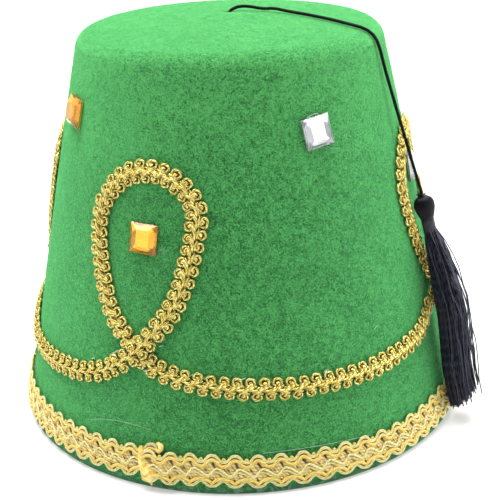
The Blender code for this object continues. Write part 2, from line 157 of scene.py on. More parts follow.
def lamp(name, place, aim, width, height, power, lights_felt=True):
    """A soft rectangular light that the camera doesn't see. A white card only shows in shiny things."""
    data = bpy.data.lights.new(name, "AREA")
    data.shape = "RECTANGLE"
    data.size, data.size_y, data.energy = width, height, power
    obj = add_object(name, data)
    obj.matrix_world = facing(place, aim)
    obj.visible_camera = False
    obj.visible_diffuse = lights_felt
    obj.visible_transmission = not lights_felt      # the foil behind the stones mirrors the cards


lamp("light_above", (-0.1, 0.24, 1.3), (0.0, 0.0, 0.1), 1.1, 1.1, 36.0)
lamp("light_left", (-1.15, -0.12, 0.42), (0.0, 0.0, 0.15), 0.9, 1.1, 1.6)
lamp("light_right", (1.12, 0.12, 0.42), (0.0, 0.0, 0.15), 0.8, 1.1, 9.2)
lamp("card_left", (-0.47, -0.35, 0.17), (-0.03, -0.07, 0.1), 0.36, 0.34, 0.36, lights_felt=False)
lamp("card_right", (0.88, -0.60, 0.26), (0.03, -0.07, 0.13), 0.5, 0.5, 1.1, lights_felt=False)

TABLE_SIDE = 12.0
TABLE_GLOW = 0.27            # the table is a white acrylic sheet with a weak lamp below it
table = bmesh.new()
bmesh.ops.create_grid(table, x_segments=8, y_segments=8, size=TABLE_SIDE / 2)
table_white = new_material("table_white", (0.62, 0.62, 0.62), 0.7, Specular_IOR_Level=0.2,
                           Emission_Color=(1.0, 1.0, 1.0, 1.0), Emission_Strength=TABLE_GLOW)[0]
floor = add_mesh("table", table, table_white)


# ---- The felt crown ------------------------------------------------------------------------------------
# One cap of pressed green wool felt, wetted and pulled over a wooden block, so it has no seam. Its side
# leans in, its top edge is rounded and its top is risen a little. The surface is a mat of short fibres.

MM = 0.001
RIM_RADIUS = 96.0
TOP_RADIUS = 61.5
EDGE_HEIGHT = 162.0
EDGE_ROUNDING = 7.7
TOP_RISE = 4.5
SIDE_BOW = 0.5
FELT = 2.2
HOLE_RADIUS = 1.3
RIM_SOFTENING = 0.5          # the cut rim is worn round by this much
ARC_END = math.radians(76.5)
SIDE_LEAN = math.atan2(RIM_RADIUS - TOP_RADIUS, EDGE_HEIGHT)
ARC_HEIGHT = EDGE_HEIGHT - EDGE_ROUNDING
ARC_RADIUS = (RIM_RADIUS - (RIM_RADIUS - TOP_RADIUS) * ARC_HEIGHT / EDGE_HEIGHT
              - EDGE_ROUNDING / math.cos(SIDE_LEAN))
SIDE_END = ARC_HEIGHT + EDGE_ROUNDING * math.sin(SIDE_LEAN)


def side_radius(height):
    """Outside radius of the side, in millimetres, at a height in millimetres."""
    t = max(0.0, min(1.0, height / SIDE_END))
    return RIM_RADIUS - (RIM_RADIUS - TOP_RADIUS) * height / EDGE_HEIGHT + SIDE_BOW * 4 * t * (1 - t)


def direction(azimuth):
    a = math.radians(azimuth)
    return Vector((math.sin(a), -math.cos(a), 0.0))


def wall_normal(azimuth):
    return direction(azimuth) * math.cos(SIDE_LEAN) + Vector((0, 0, math.sin(SIDE_LEAN)))


def on_wall(azimuth, height, out=0.0):
    """The point at this azimuth and height that stands out from the felt by out, in millimetres."""
    return direction(azimuth) * side_radius(height) + Vector((0, 0, height)) + wall_normal(azimuth) * out


def top_face(radius, inset=0.0):
    """Height of the domed top, or of the face that runs inset below it."""
    rounding = EDGE_ROUNDING - inset
    edge_radius = ARC_RADIUS + rounding * math.cos(ARC_END)
    return ARC_HEIGHT + rounding * math.sin(ARC_END) + TOP_RISE * (1 - (radius / edge_radius) ** 2)


def crown_face(inset, top_rings, arc_rings, side_rings):
    """(radius, height) down one face of the felt, from the hole in the top to the rim."""
    rounding = EDGE_ROUNDING - inset
    across = ARC_RADIUS + rounding * math.cos(ARC_END) - HOLE_RADIUS
    points = []
    for i in range(top_rings):
        radius = HOLE_RADIUS + across * i / top_rings
        points.append((radius, top_face(radius, inset)))
    for i in range(arc_rings + 1):
        a = ARC_END + (SIDE_LEAN - ARC_END) * i / arc_rings
        points.append((ARC_RADIUS + rounding * math.cos(a), ARC_HEIGHT + rounding * math.sin(a)))
    side_top = points[-1][1]
    wall = inset / math.cos(SIDE_LEAN)
    for i in range(1, side_rings + 1):
        height = side_top + (RIM_SOFTENING - side_top) * i / side_rings
        points.append((side_radius(height) - wall, height))
    return points


def edge_mesh(name, lines, closed=False, **columns):
    """A mesh of lines of points, in metres. Each column is one value or vector for every point."""
    mesh = bpy.data.meshes.new(name)
    edges, first = [], 0
    for line in lines:
        edges += [(first + i, first + i + 1) for i in range(len(line) - 1)]
        if closed:
            edges.append((first + len(line) - 1, first))
        first += len(line)
    mesh.from_pydata([tuple(p) for line in lines for p in line], edges, [])
    for key, values in columns.items():
        if isinstance(values[0], (int, float)):
            mesh.attributes.new(key, "FLOAT", "POINT").data.foreach_set("value", [float(v) for v in values])
        else:
            flat = [x for v in values for x in v]
            mesh.attributes.new(key, "FLOAT_VECTOR", "POINT").data.foreach_set("vector", flat)
    return mesh


def new_tree(name, **sizes):
    """A geometry tree whose inputs are a base mesh, these sizes and a material, and those inputs' sockets."""
    tree = bpy.data.node_groups.new(name, "GeometryNodeTree")
    tree.interface.new_socket("Geometry", in_out="INPUT", socket_type="NodeSocketGeometry")
    tree.interface.new_socket("Geometry", in_out="OUTPUT", socket_type="NodeSocketGeometry")
    for key, value in sizes.items():
        kind = {int: "NodeSocketInt", float: "NodeSocketFloat", tuple: "NodeSocketVector"}[type(value)]
        socket = tree.interface.new_socket(key.replace("_", " "), in_out="INPUT", socket_type=kind)
        socket.default_value = value
    tree.interface.new_socket("Material", in_out="INPUT", socket_type="NodeSocketMaterial")
    return tree, tree.nodes.new("NodeGroupInput").outputs


def curve_of(mesh):
    return put(mesh.id_data, "GeometryNodeMeshToCurve", {"Mesh": mesh})


def turned(tree, size):
    """The half section in the base mesh, turned round an upright axis."""
    hub = put(tree, "GeometryNodeCurvePrimitiveCircle",
              {"Resolution": size["Turned Faces"], "Radius": size["Hub"]})
    return put(tree, "GeometryNodeCurveToMesh", {"Curve": hub, "Profile Curve": curve_of(size["Geometry"])})


def finish_tree(tree, size, result):
    """Every tree ends by making its instances real and giving them their material."""
    real = put(tree, "GeometryNodeRealizeInstances", {"Geometry": result})
    done = put(tree, "GeometryNodeSetMaterial", {"Geometry": real, "Material": size["Material"]})
    tree.links.new(done, tree.nodes.new("NodeGroupOutput").inputs[0])


def grow(name, base, tree, material, **sizes):
    """Runs a geometry tree on a base mesh and returns the result as a plain object."""
    obj = add_object(name, base)
    modifier = obj.modifiers.new("grow", "NODES")
    modifier.node_group = tree
    values = {key.replace("_", " "): value for key, value in sizes.items()}
    values["Material"] = material
    for item in tree.interface.items_tree:
        if item.in_out == "INPUT" and item.name in values:
            modifier[item.identifier] = values[item.name]
    bpy.context.view_layer.update()
    evaluated = obj.evaluated_get(bpy.context.evaluated_depsgraph_get())
    result = bpy.data.meshes.new_from_object(evaluated)
    obj.modifiers.clear()
    obj.data = result
    result.name = name
    return obj


def scaled(vector, share):
    return put(share.id_data if isinstance(vector, tuple) else vector.id_data, "ShaderNodeVectorMath",
               {0: vector, "Scale": share}, operation="SCALE")


def noise_of(tree, scale, detail=2.0, roughness=0.5, distortion=0.0):
    """Noise that is fixed to the piece."""
    where = put(tree, "ShaderNodeTexCoord", output="Object")
    return put(tree, "ShaderNodeTexNoise", {"Vector": where, "Scale": scale, "Detail": detail,
                                            "Roughness": roughness, "Distortion": distortion})


def ramp_of(value, stops):
    """A colour ramp with these (position, colour) stops."""
    colour = put(value.id_data, "ShaderNodeValToRGB", {0: value})
    band = colour.node.color_ramp
    while len(band.elements) < len(stops):
        band.elements.new(0.5)
    for element, (position, shade) in zip(band.elements, stops):
        element.position = position
        element.color = (*shade, 1.0)
    return colour


def mix_colours(share, a, b):
    return put(share.id_data, "ShaderNodeMix", {"Factor_Float": share, "A_Color": a, "B_Color": b},
               output="Result_Color", data_type="RGBA")


def bumped(strength, distance, height):
    return put(height.id_data, "ShaderNodeBump",
               {"Strength": strength, "Distance": distance, "Height": height})


def feed(shader, **sockets):
    """Links each output to the shader's socket named for it."""
    for key, socket in sockets.items():
        shader.id_data.links.new(socket, shader.inputs[key.replace("_", " ")])


FELT_DARK = (0.007, 0.070, 0.014)
FELT_MIDDLE = (0.031, 0.200, 0.039)
FELT_LIGHT = (0.090, 0.415, 0.105)
FIBRE_LIGHT = (0.130, 0.500, 0.165, 1.0)

green_felt, tree, shader = new_material(
    "green_felt", FELT_MIDDLE, 0.95, Sheen_Weight=0.75, Sheen_Roughness=0.5,
    Sheen_Tint=(0.22, 1.0, 0.34, 1.0), Specular_IOR_Level=0.15)
grain = noise_of(tree, 900.0, 3.0, 0.70, 2.0)
clump = noise_of(tree, 300.0, 2.0, 0.5, 0.8)
cloud = noise_of(tree, 60.0)
body = maths("MULTIPLY_ADD", clump, 0.13, maths("MULTIPLY", grain, 0.81))
body = maths("MULTIPLY_ADD", cloud, 0.06, body)
# Painted light: the side is lightened toward the top edge, where the light from above falls. The nap is
# pressed flatter on the top disc
up_wall = parts_of(put(tree, "ShaderNodeTexCoord", output="Object"))["Z"]
top_edge_painted_light = ranged(up_wall, 0.098, 0.146, 0.0, 0.040, "SMOOTHSTEP")
pressed = ranged(up_wall, 0.1575, 0.1615, 1.0, 0.1, "SMOOTHSTEP")
clumped = maths("MULTIPLY_ADD", pressed, 0.65, 0.60)
body = maths("MULTIPLY_ADD", maths("SUBTRACT", body, 0.5), clumped, 0.5)
body = maths("MULTIPLY_ADD", top_edge_painted_light, pressed, body)
colour = ramp_of(body, [(0.44, FELT_DARK), (0.50, FELT_MIDDLE), (0.57, FELT_LIGHT)])


def curly_lines(scale, width, share):
    """How much of each place is covered by thin curly fibres: the lines where a noise is halfway."""
    curl = maths("SUBTRACT", noise_of(tree, scale, 1.0, 0.5, 2.2), 0.5)
    return ranged(maths("ABSOLUTE", curl), 0.0, width, share, 0.0)


strand, shadow = curly_lines(620.0, 0.030, 0.75), curly_lines(540.0, 0.028, 0.80)
colour = mix_colours(shadow, colour, (*FELT_DARK, 1.0))
colour = mix_colours(strand, colour, FIBRE_LIGHT)
# Painted shade: the lowest edge is darkened to a mottled grey-green where the rim meets the table
rim_painted_shade = ranged(up_wall, 0.0016, 0.0030, 0.95, 0.0)
rim_shade_mottle = ramp_of(noise_of(tree, 260.0, 3.0, 0.6, 1.5),
                [(0.40, (0.020, 0.055, 0.032)), (0.52, (0.045, 0.075, 0.058)), (0.62, (0.200, 0.260, 0.220))])
colour = mix_colours(rim_painted_shade, colour, rim_shade_mottle)
height = maths("MULTIPLY_ADD", strand, 0.35, body)
height = maths("MULTIPLY_ADD", shadow, -0.25, height)
feed(shader, Base_Color=colour, Normal=bumped(0.8, 0.0007, height))

# The section of the felt is turned about the crown's axis, then pushed in and out a little
tree, size = new_tree("turned_felt", Turned_Faces=288, Hub=0.001, Broad_Unevenness=0.0005,
                      Fine_Unevenness=0.0002)
merged = put(tree, "GeometryNodeMergeByDistance", {"Geometry": turned(tree, size), "Distance": 0.000005})
push = []
for label, scale, detail in (("Broad Unevenness", 14.0, 1.0), ("Fine Unevenness", 130.0, 2.0)):
    swell = put(tree, "ShaderNodeTexNoise", {"Scale": scale, "Detail": detail})
    push.append(maths("MULTIPLY", maths("SUBTRACT", swell, 0.45), size[label]))
lift_off = parts_of(put(tree, "GeometryNodeInputPosition"))["Z"]
push = maths("MULTIPLY", maths("ADD", *push), ranged(lift_off, 0.0005, 0.004))
offset = scaled(put(tree, "GeometryNodeInputNormal"), push)
pushed = put(tree, "GeometryNodeSetPosition", {"Geometry": merged, "Offset": offset})
finish_tree(tree, size, put(tree, "GeometryNodeSetShadeSmooth", {"Geometry": pushed}))

HUB_RADIUS = 1.0             # the section is drawn from this far beside the axis


def section_line(rows):
    """(radius, height) rows as a line that turned() can use."""
    return [((radius - HUB_RADIUS) * MM, -height * MM, 0.0) for radius, height in rows]


outer = crown_face(0.0, 16, 12, 40)
inner = crown_face(FELT, 10, 6, 16)
rim = [(side_radius(0) - RIM_SOFTENING, 0.0), (side_radius(0) - FELT + RIM_SOFTENING, 0.0)]
section = edge_mesh("crown_section", [section_line(outer + rim + inner[::-1])], closed=True)
crown = grow("felt_crown_cloth", section, tree, green_felt, Hub=HUB_RADIUS * MM)
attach(crown, "root")
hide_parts("felt_crown")

# Loose fibres that lie on the felt and stand a little off it. Fibres_Per_Area counts those on a square metre
tree, size = new_tree("felt_fibres", Turned_Faces=96, Hub=0.001, Fibres_Per_Area=115000.0,
                      Fibre_Length=0.0026, Fibre_Radius=0.00005, Seed=5)
roots = put(tree, "GeometryNodeDistributePointsOnFaces", {
    "Mesh": turned(tree, size), "Density": size["Fibres Per Area"], "Seed": size["Seed"]}).node.outputs
fibre = put(tree, "GeometryNodeCurveQuadraticBezier",
            {"Resolution": 2, "Start": (0.0, 0.0, 0.0),
             "Middle": scaled((0.5, 0.35, 0.22), size["Fibre Length"]),
             "End": scaled((1.0, 0.0, 0.10), size["Fibre Length"])})
ring = put(tree, "GeometryNodeCurvePrimitiveCircle", {"Resolution": 3, "Radius": size["Fibre Radius"]})
taper = maths("MULTIPLY_ADD", put(tree, "GeometryNodeSplineParameter", output="Factor"), -0.7, 1.0)
hair = put(tree, "GeometryNodeCurveToMesh", {"Curve": fibre, "Profile Curve": ring, "Scale": taper})
hairs = put(tree, "GeometryNodeInstanceOnPoints",
            {"Points": roots["Points"], "Instance": hair, "Rotation": roots["Rotation"]})
spin = put(tree, "FunctionNodeRandomValue", {"Min": (-0.12, -0.18, 0.0), "Max": (0.12, 0.04, math.tau),
                                             "Seed": size["Seed"]}, data_type="FLOAT_VECTOR")
hairs = put(tree, "GeometryNodeRotateInstances", {"Instances": hairs, "Rotation": spin})
grown = put(tree, "FunctionNodeRandomValue", {"Min": (0.5, -0.8, 0.3), "Max": (1.5, 1.2, 1.6),
                                              "Seed": maths("ADD", size["Seed"], 1.0)},
            data_type="FLOAT_VECTOR")
finish_tree(tree, size, put(tree, "GeometryNodeScaleInstances", {"Instances": hairs, "Scale": grown}))
fibre_tree = tree

felt_fibre, tree, shader = new_material("felt_fibre", (0.10, 0.44, 0.13), 0.8, Sheen_Weight=0.4,
                                        Sheen_Tint=(0.3, 1.0, 0.4, 1.0))
feed(shader, Base_Color=ramp_of(noise_of(tree, 900.0), [
    (0.40, (0.030, 0.180, 0.040)), (0.50, (0.090, 0.400, 0.115)), (0.62, (0.190, 0.620, 0.230))]))
section = edge_mesh("fibre_section", [section_line(crown_face(0.0, 8, 6, 12))])
fuzz = grow("felt_crown_fibres", section, fibre_tree, felt_fibre, Hub=HUB_RADIUS * MM)
# Fibres that would hang down into the table are taken off whole
LOWEST_FIBRE = 0.1
bm = bmesh.new()
bm.from_mesh(fuzz.data)
waiting = [v for v in bm.verts if v.co.z < LOWEST_FIBRE * MM]
hanging = set(waiting)
while waiting:
    for edge in waiting.pop().link_edges:
        for v in edge.verts:
            if v not in hanging:
                hanging.add(v)
                waiting.append(v)
bmesh.ops.delete(bm, geom=list(hanging), context="VERTS")
bm.to_mesh(fuzz.data)
bm.free()
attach(fuzz, "root")
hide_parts("felt_crown")


# ---- The hem braid -------------------------------------------------------------------------------------
# Gimp braid glued round the rim: thick and thin gold rayon cords laid side by side in waves and stitched to
# a brownish ground tape. At the front its melted beginning is glued over its end, which is turned up.

GAP = 0.3                    # air and glue between the felt and what lies on it
WAVE_COUNT_AT = (            # (azimuth, waves)
    (-23.8, -1.3), (-22.0, -1.0), (-16.9, 0.0), (-12.5, 1.0), (-7.3, 2.0), (29.6, 9.0), (65.6, 16.0),
    (302.9, 63.0), (327.4, 68.0), (332.3, 69.0), (337.9, 70.0), (339.6, 70.3))
HEM_MIDDLE_AT = (            # (azimuth, height)
    (-25.2, 9.8), (-7.0, 9.9), (2.0, 9.35), (13.0, 8.95), (24.0, 8.8), (38.0, 8.2), (50.0, 8.8), (62.0, 9.25),
    (90.0, 9.6), (303.0, 9.55), (325.0, 9.7), (339.6, 9.8))
HEM_WIDTH_AT = (             # (azimuth, share of the drawn width)
    (-25.2, 1.03), (24.0, 1.03), (50.0, 1.08), (62.0, 1.12), (303.0, 1.12), (325.0, 1.06), (339.6, 1.03))
HEM_STEPS = 720
LAP_TOP_END = -19.0          # from the braid's beginning to here it lies on top of the braid's end
LAP_RAMP = 5.0
LAP_CLIMB = 2.0
LAP_RAISE_START = 330.0      # the end below it is turned up a little and looks out above
LAP_RAISE = 2.3
WAVE_STEPS = 20


def smooth_step(x):
    x = max(0.0, min(1.0, x))
    return x * x * (3 - 2 * x)


def read_table(table, x):
    """The second column where the first is x, straight between rows."""
    for (x0, y0), (x1, y1) in zip(table, table[1:]):
        if x <= x1:
            break
    return y0 + (y1 - y0) * (x - x0) / (x1 - x0)


def run_of(line, place=lambda p: p):
    """How far along the line each of its points comes, measured between placed points."""
    run = [0.0]
    for a, b in zip(line, line[1:]):
        run.append(run[-1] + (place(b) - place(a)).length)
    return run


def parallel(line, distance):
    """A flat line moved sideways by this distance, to its left where that is more than nothing."""
    moved = []
    for i, (x, y) in enumerate(line):
        before, after = line[max(i - 1, 0)], line[min(i + 1, len(line) - 1)]
        dx, dy = after[0] - before[0], after[1] - before[1]
        length = math.hypot(dx, dy)
        moved.append((x - dy / length * distance, y + dx / length * distance))
    return moved


def named(tree, name, kind="FLOAT"):
    return put(tree, "GeometryNodeInputNamedAttribute", {"Name": name}, "Attribute", data_type=kind)


def vectors(operation, *values):
    return maths(operation, *values, kind="ShaderNodeVectorMath")


def swept(curve, sides):
    """A curve's tube, whose points know how far round (turn) and along (run) the cord they are."""
    tree, store = curve.id_data, "GeometryNodeStoreNamedAttribute"
    run = put(tree, "GeometryNodeSplineParameter", output="Length")
    curve = put(tree, store, {"Geometry": curve, "Name": "run", "Value": run}, data_type="FLOAT",
                domain="POINT")
    ring = put(tree, "GeometryNodeCurvePrimitiveCircle", {"Resolution": sides, "Radius": 1.0})
    spot = put(tree, "GeometryNodeInputPosition")
    ring = put(tree, store, {"Geometry": ring, "Name": "turn", "Value": spot}, data_type="FLOAT_VECTOR",
               domain="POINT")
    tube = put(tree, "GeometryNodeCurveToMesh", {"Curve": curve, "Profile Curve": ring, "Fill Caps": True,
                                                 "Scale": named(tree, "thick")})
    return put(tree, "GeometryNodeSetShadeSmooth", {"Geometry": tube})


# Cords are drawn flat, as (along, across, out) from a route, and the tree lays them along it on the felt. The
# route comes in the same base mesh, marked by its attribute, and each of its points carries the felt's normal
tree, size = new_tree("cords_laid_on_a_route", Route_Length=1.0, Cord_Sides=6, Unevenness=0.00005, Seed=1)
parts = put(tree, "GeometryNodeSeparateGeometry",
            {"Geometry": size["Geometry"], "Selection": named(tree, "is_route", "BOOLEAN")},
            domain="POINT").node.outputs
route_curve = curve_of(parts[0])
drawn = parts_of(put(tree, "GeometryNodeInputPosition"))
along_route = maths("FLOORED_MODULO", drawn["X"], size["Route Length"])
found = put(tree, "GeometryNodeSampleCurve", {
    "Curves": route_curve, "Value": named(tree, "felt_normal", "FLOAT_VECTOR"), "Length": along_route,
}, mode="LENGTH", data_type="FLOAT_VECTOR", use_all_curves=False).node.outputs
normal = vectors("NORMALIZE", found["Value"])
across = vectors("NORMALIZE", vectors("CROSS_PRODUCT", normal, found["Tangent"]))
wander = put(tree, "FunctionNodeRandomValue", {"Min": (-1.0, -1.0, -1.0), "Max": (1.0, 1.0, 1.0),
                                               "Seed": size["Seed"]}, data_type="FLOAT_VECTOR")
moved = vectors("ADD", found["Position"], scaled(across, drawn["Y"]))
moved = vectors("ADD", moved, scaled(normal, drawn["Z"]))
moved = vectors("ADD", moved, scaled(wander, size["Unevenness"]))
laid = put(tree, "GeometryNodeSetPosition", {"Geometry": parts[1], "Position": moved})
finish_tree(tree, size, swept(curve_of(laid), size["Cord Sides"]))
laying_tree = tree


def lay(name, route, normals, cords, material, sides, closed=False):
    """Lays cords on a route. Each is a flat line of (along, across, out), in millimetres, and its thickness,
    or a list with one thickness for each of its points."""
    count = sum(len(line) for line, thick in cords)
    thicks = [thick if isinstance(thick, list) else [thick] * len(line) for line, thick in cords]
    if closed:
        route, normals = route + [route[0]], normals + [normals[0]]
    base = edge_mesh(name + "_lines", [[p * MM for p in route]] +
                     [[(x * MM, y * MM, z * MM) for x, y, z in line] for line, thick in cords],
                     felt_normal=list(normals) + [Vector((0, 0, 1))] * count,
                     thick=[0.0] * len(route) + [t * MM for row in thicks for t in row])
    marks = base.attributes.new("is_route", "BOOLEAN", "POINT")
    marks.data.foreach_set("value", [True] * len(route) + [False] * count)
    return grow(name, base, laying_tree, material, Route_Length=run_of(route)[-1] * MM, Cord_Sides=sides)


HEM_FIRST, HEM_LAST = WAVE_COUNT_AT[0][0], WAVE_COUNT_AT[-1][0]
HEM_FIRST_WAVE, HEM_LAST_WAVE = WAVE_COUNT_AT[0][1], WAVE_COUNT_AT[-1][1]
azimuth_of_wave = [(waves, azimuth) for azimuth, waves in WAVE_COUNT_AT]
hem_azimuths = [HEM_FIRST + (HEM_LAST - HEM_FIRST) * i / HEM_STEPS for i in range(HEM_STEPS + 1)]
hem_route = [on_wall(a, read_table(HEM_MIDDLE_AT, a)) for a in hem_azimuths]
hem_normals = [wall_normal(a) for a in hem_azimuths]
hem_run = run_of(hem_route)


def hem_along(wave):
    """How far along the hem's route this wave count comes."""
    share = (read_table(azimuth_of_wave, wave) - HEM_FIRST) / (HEM_LAST - HEM_FIRST) * HEM_STEPS
    k = max(0, min(HEM_STEPS - 1, int(share)))
    return hem_run[k] + (hem_run[k + 1] - hem_run[k]) * (share - k)


def hem_line(flat, out):
    """A flat hem line set on the route, with the lap where its beginning lies over its end."""
    line = []
    for x, y in flat:
        azimuth = HEM_FIRST + (HEM_LAST - HEM_FIRST) * x / hem_run[-1]
        lift = LAP_CLIMB * (1 - smooth_step((azimuth - LAP_TOP_END) / LAP_RAMP))
        up = LAP_RAISE * smooth_step((azimuth - LAP_RAISE_START) / (HEM_LAST - LAP_RAISE_START))
        line.append((x, y * read_table(HEM_WIDTH_AT, azimuth) + up, GAP + lift + out))
    return line


def hem_wave(height_of, steps=WAVE_STEPS):
    """A flat line along the whole hem. height_of says how high it runs at each wave count."""
    count = round((HEM_LAST_WAVE - HEM_FIRST_WAVE) * steps)
    waves = [HEM_FIRST_WAVE + (HEM_LAST_WAVE - HEM_FIRST_WAVE) * i / count for i in range(count + 1)]
    return [(hem_along(w), height_of(w)) for w in waves]


# A shared pattern: the stripes that the twist of a cord's strands makes on its surface, with painted shade in
# the grooves between strands
twist = bpy.data.node_groups.new("cord_twist", "ShaderNodeTree")
for way, labels in (("INPUT", ("Strands", "Twist Length")), ("OUTPUT", ("Height", "Groove Shade"))):
    for label in labels:
        twist.interface.new_socket(label, in_out=way, socket_type="NodeSocketFloat")
given, end = twist.nodes.new("NodeGroupInput").outputs, twist.nodes.new("NodeGroupOutput").inputs
turn = parts_of(put(twist, "ShaderNodeAttribute", output="Vector", attribute_name="turn"))
run = put(twist, "ShaderNodeAttribute", output="Fac", attribute_name="run")
phase = maths("DIVIDE", maths("MULTIPLY", run, math.tau), given["Twist Length"])
phase = maths("MULTIPLY_ADD", maths("ARCTAN2", turn["Y"], turn["X"]), given["Strands"], phase)
ridge = maths("ABSOLUTE", maths("SINE", maths("MULTIPLY", phase, 0.5)))
twist.links.new(maths("POWER", ridge, 0.6), end["Height"])
twist.links.new(ranged(ridge, 0.08, 0.45, 1.0, 0.0), end["Groove Shade"])


def cord_material(name, colours, roughness, strands, twist_length, bump=0.5, depth=0.0002, **sockets):
    """Twisted cord. Its colours are the painted shade in the grooves between strands, its own and its lighter
    places'.
    """
    groove_shade_colour, middle, light = colours
    material, tree, shader = new_material(name, middle, roughness, **sockets)
    pattern = put(tree, "ShaderNodeGroup", {"Strands": strands, "Twist Length": twist_length},
                  node_tree=twist).node.outputs
    colour = ramp_of(noise_of(tree, 700.0), [(0.38, middle), (0.62, light)])
    # Painted shade: the grooves between the strands are darkened
    colour = mix_colours(pattern["Groove Shade"], colour, (*groove_shade_colour, 1.0))
    height = maths("MULTIPLY_ADD", noise_of(tree, 2600.0), 0.25, pattern["Height"])
    feed(shader, Base_Color=colour, Normal=bumped(bump, depth, height))
    return material


gimp_gold = cord_material("gimp_gold", ((0.36, 0.20, 0.03), (0.74, 0.52, 0.090), (0.86, 0.66, 0.15)),
                          0.42, 5.0, 0.0030, bump=0.35, Specular_IOR_Level=0.5)
gimp_light = cord_material("gimp_light", ((0.36, 0.24, 0.05), (0.76, 0.67, 0.23), (0.88, 0.82, 0.40)),
                           0.38, 3.0, 0.0017, Specular_IOR_Level=0.6)
# Painted shade: near-black cords laid where the braid's gaps lie in shade
gimp_painted_shade = cord_material("gimp_painted_shade", ((0.018, 0.011, 0.004), (0.055, 0.038, 0.015), (0.14, 0.11, 0.06)),
                           0.7, 2.0, 0.002)
gimp_slant = cord_material("gimp_slant", ((0.27, 0.17, 0.05), (0.72, 0.52, 0.13), (0.88, 0.73, 0.33)),
                           0.5, 3.0, 0.0016)
gimp_ground = cord_material("gimp_ground", ((0.12, 0.08, 0.03), (0.36, 0.26, 0.10), (0.54, 0.43, 0.22)),
                            0.7, 3.0, 0.0009)


def top_edge(w):
    """Broad round waves with narrower valleys."""
    return 4.60 + 1.27 * math.cos(math.tau * w - 0.22 * math.sin(math.tau * 2 * w))


def second_wave(w):
    """The thick cord below the top edge, whose crests are as round as the edge's own."""
    return 2.98 + 1.18 * math.cos(math.tau * w - 0.14 * math.sin(math.tau * 2 * w))


def slanted_wave(w, middle=-0.47, rise=1.38):
    """Waves that climb faster than they fall."""
    phase = math.tau * (w - 0.22)
    return middle + rise * math.cos(phase + 0.3 * math.cos(phase) - 0.3)


def arches(w):
    """Low arches that meet in a cusp."""
    return -4.98 + 2.0 * abs(math.sin(math.pi * w)) ** 0.8


def foot_scallops(w):
    """Hanging bows that meet in a notch."""
    return -6.0 + 2.1 * abs(math.sin(math.pi * w)) ** 3.4


TWIN = 0.27                  # half the distance between the two light cords of an edge
GOLD_OUT = 1.08
top_wave, foot_wave = hem_wave(top_edge), hem_wave(foot_scallops)
light_cords = [(hem_line(flat, out), thick) for flat, out, thick in (
    (parallel(top_wave, TWIN), 1.15, 0.33),
    (parallel(top_wave, -TWIN), 1.2, 0.33),
    (hem_wave(slanted_wave), 1.4, 0.48),
    (hem_wave(lambda w: slanted_wave(w + 0.05, -1.42, 1.12)), 1.2, 0.43),
    (parallel(foot_wave, TWIN), 0.9, 0.36),
    (parallel(foot_wave, -TWIN), 0.8, 0.40))]
gold_cords = [(hem_line(hem_wave(second_wave), GOLD_OUT), 0.78), (hem_line(hem_wave(arches), GOLD_OUT), 0.72)]
# In each valley of the top edge lies a nub, and slanting threads cross the braid behind the thick cords
NUB_HALF = 0.42
NUB_RISE = 0.62
NUB_FOOT = 3.95
NUB_OUT = 0.85
NUB_THICK = 0.42
NUB_STEPS = 7
SLANTS = 6                   # in each wave
SLANT_FIRST = 0.12
SLANT_PITCH = 0.148
SLANT_REACH = 0.50           # share of a wave that a slanting thread runs along while it comes down
SLANT_TOP = 2.9
SLANT_FALL = 6.2
SLANT_OUT = 0.50
draw = random.Random(5)
slanting_threads = []
for wave in range(math.ceil(HEM_FIRST_WAVE), math.floor(HEM_LAST_WAVE)):
    middle = hem_along(wave + 0.5)
    half_turn = [math.pi * i / NUB_STEPS for i in range(NUB_STEPS + 1)]
    nub = [(middle + NUB_HALF * math.cos(a), NUB_FOOT + NUB_RISE * math.sin(a)) for a in half_turn]
    gold_cords.append((hem_line(nub, NUB_OUT), NUB_THICK))
    for k in range(SLANTS):
        at = wave + SLANT_FIRST + SLANT_PITCH * k + draw.uniform(-0.03, 0.03)
        slant = [(hem_along(min(at + SLANT_REACH * i / 4, HEM_LAST_WAVE)), SLANT_TOP - SLANT_FALL * i / 4)
                 for i in range(5)]
        slant = hem_line(slant, SLANT_OUT + draw.uniform(-0.12, 0.10))
        slanting_threads.append((slant, draw.uniform(0.62, 0.86)))

# Painted shade: dark cords stand where the braid's gaps lie in shade
# The painted-shade slits: under each peak of the second wave, over each cusp of the arches and beside it
# below
SHADE_SLITS = (
    # from wave, y   to wave, y   out  thick
    (0.00, 3.00, 0.09, 1.70, 1.22, 0.34),
    (-0.025, -3.85, 0.005, -3.80, 1.05, 0.44),
    (0.07, -5.55, 0.20, -5.00, 0.85, 0.24),
    (-0.20, -5.05, -0.09, -5.50, 0.85, 0.20),
    (0.33, -2.45, 0.42, -3.10, 1.30, 0.17),
    (0.66, 0.85, 0.75, -0.20, 1.34, 0.17),
)
draw = random.Random(11)
painted_shade_slits = []
for wave in range(math.ceil(HEM_FIRST_WAVE) + 1, math.floor(HEM_LAST_WAVE)):
    for w0, y0, w1, y1, out, thick in SHADE_SLITS:
        w0, w1 = w0 + draw.uniform(-0.02, 0.02), w1 + draw.uniform(-0.02, 0.02)
        out += draw.uniform(-0.12, 0.05)
        shade_line = [(hem_along(wave + w0 + (w1 - w0) * t), y0 + (y1 - y0) * t) for t in (0.0, 0.5, 1.0)]
        painted_shade_slits.append((hem_line(shade_line, out), thick))
# and a painted shadow line that runs all along between the top edge and the second wave
painted_shade_slits.append((hem_line(hem_wave(lambda w: top_edge(w) * 0.54 + second_wave(w) * 0.46), 1.28), 0.19))

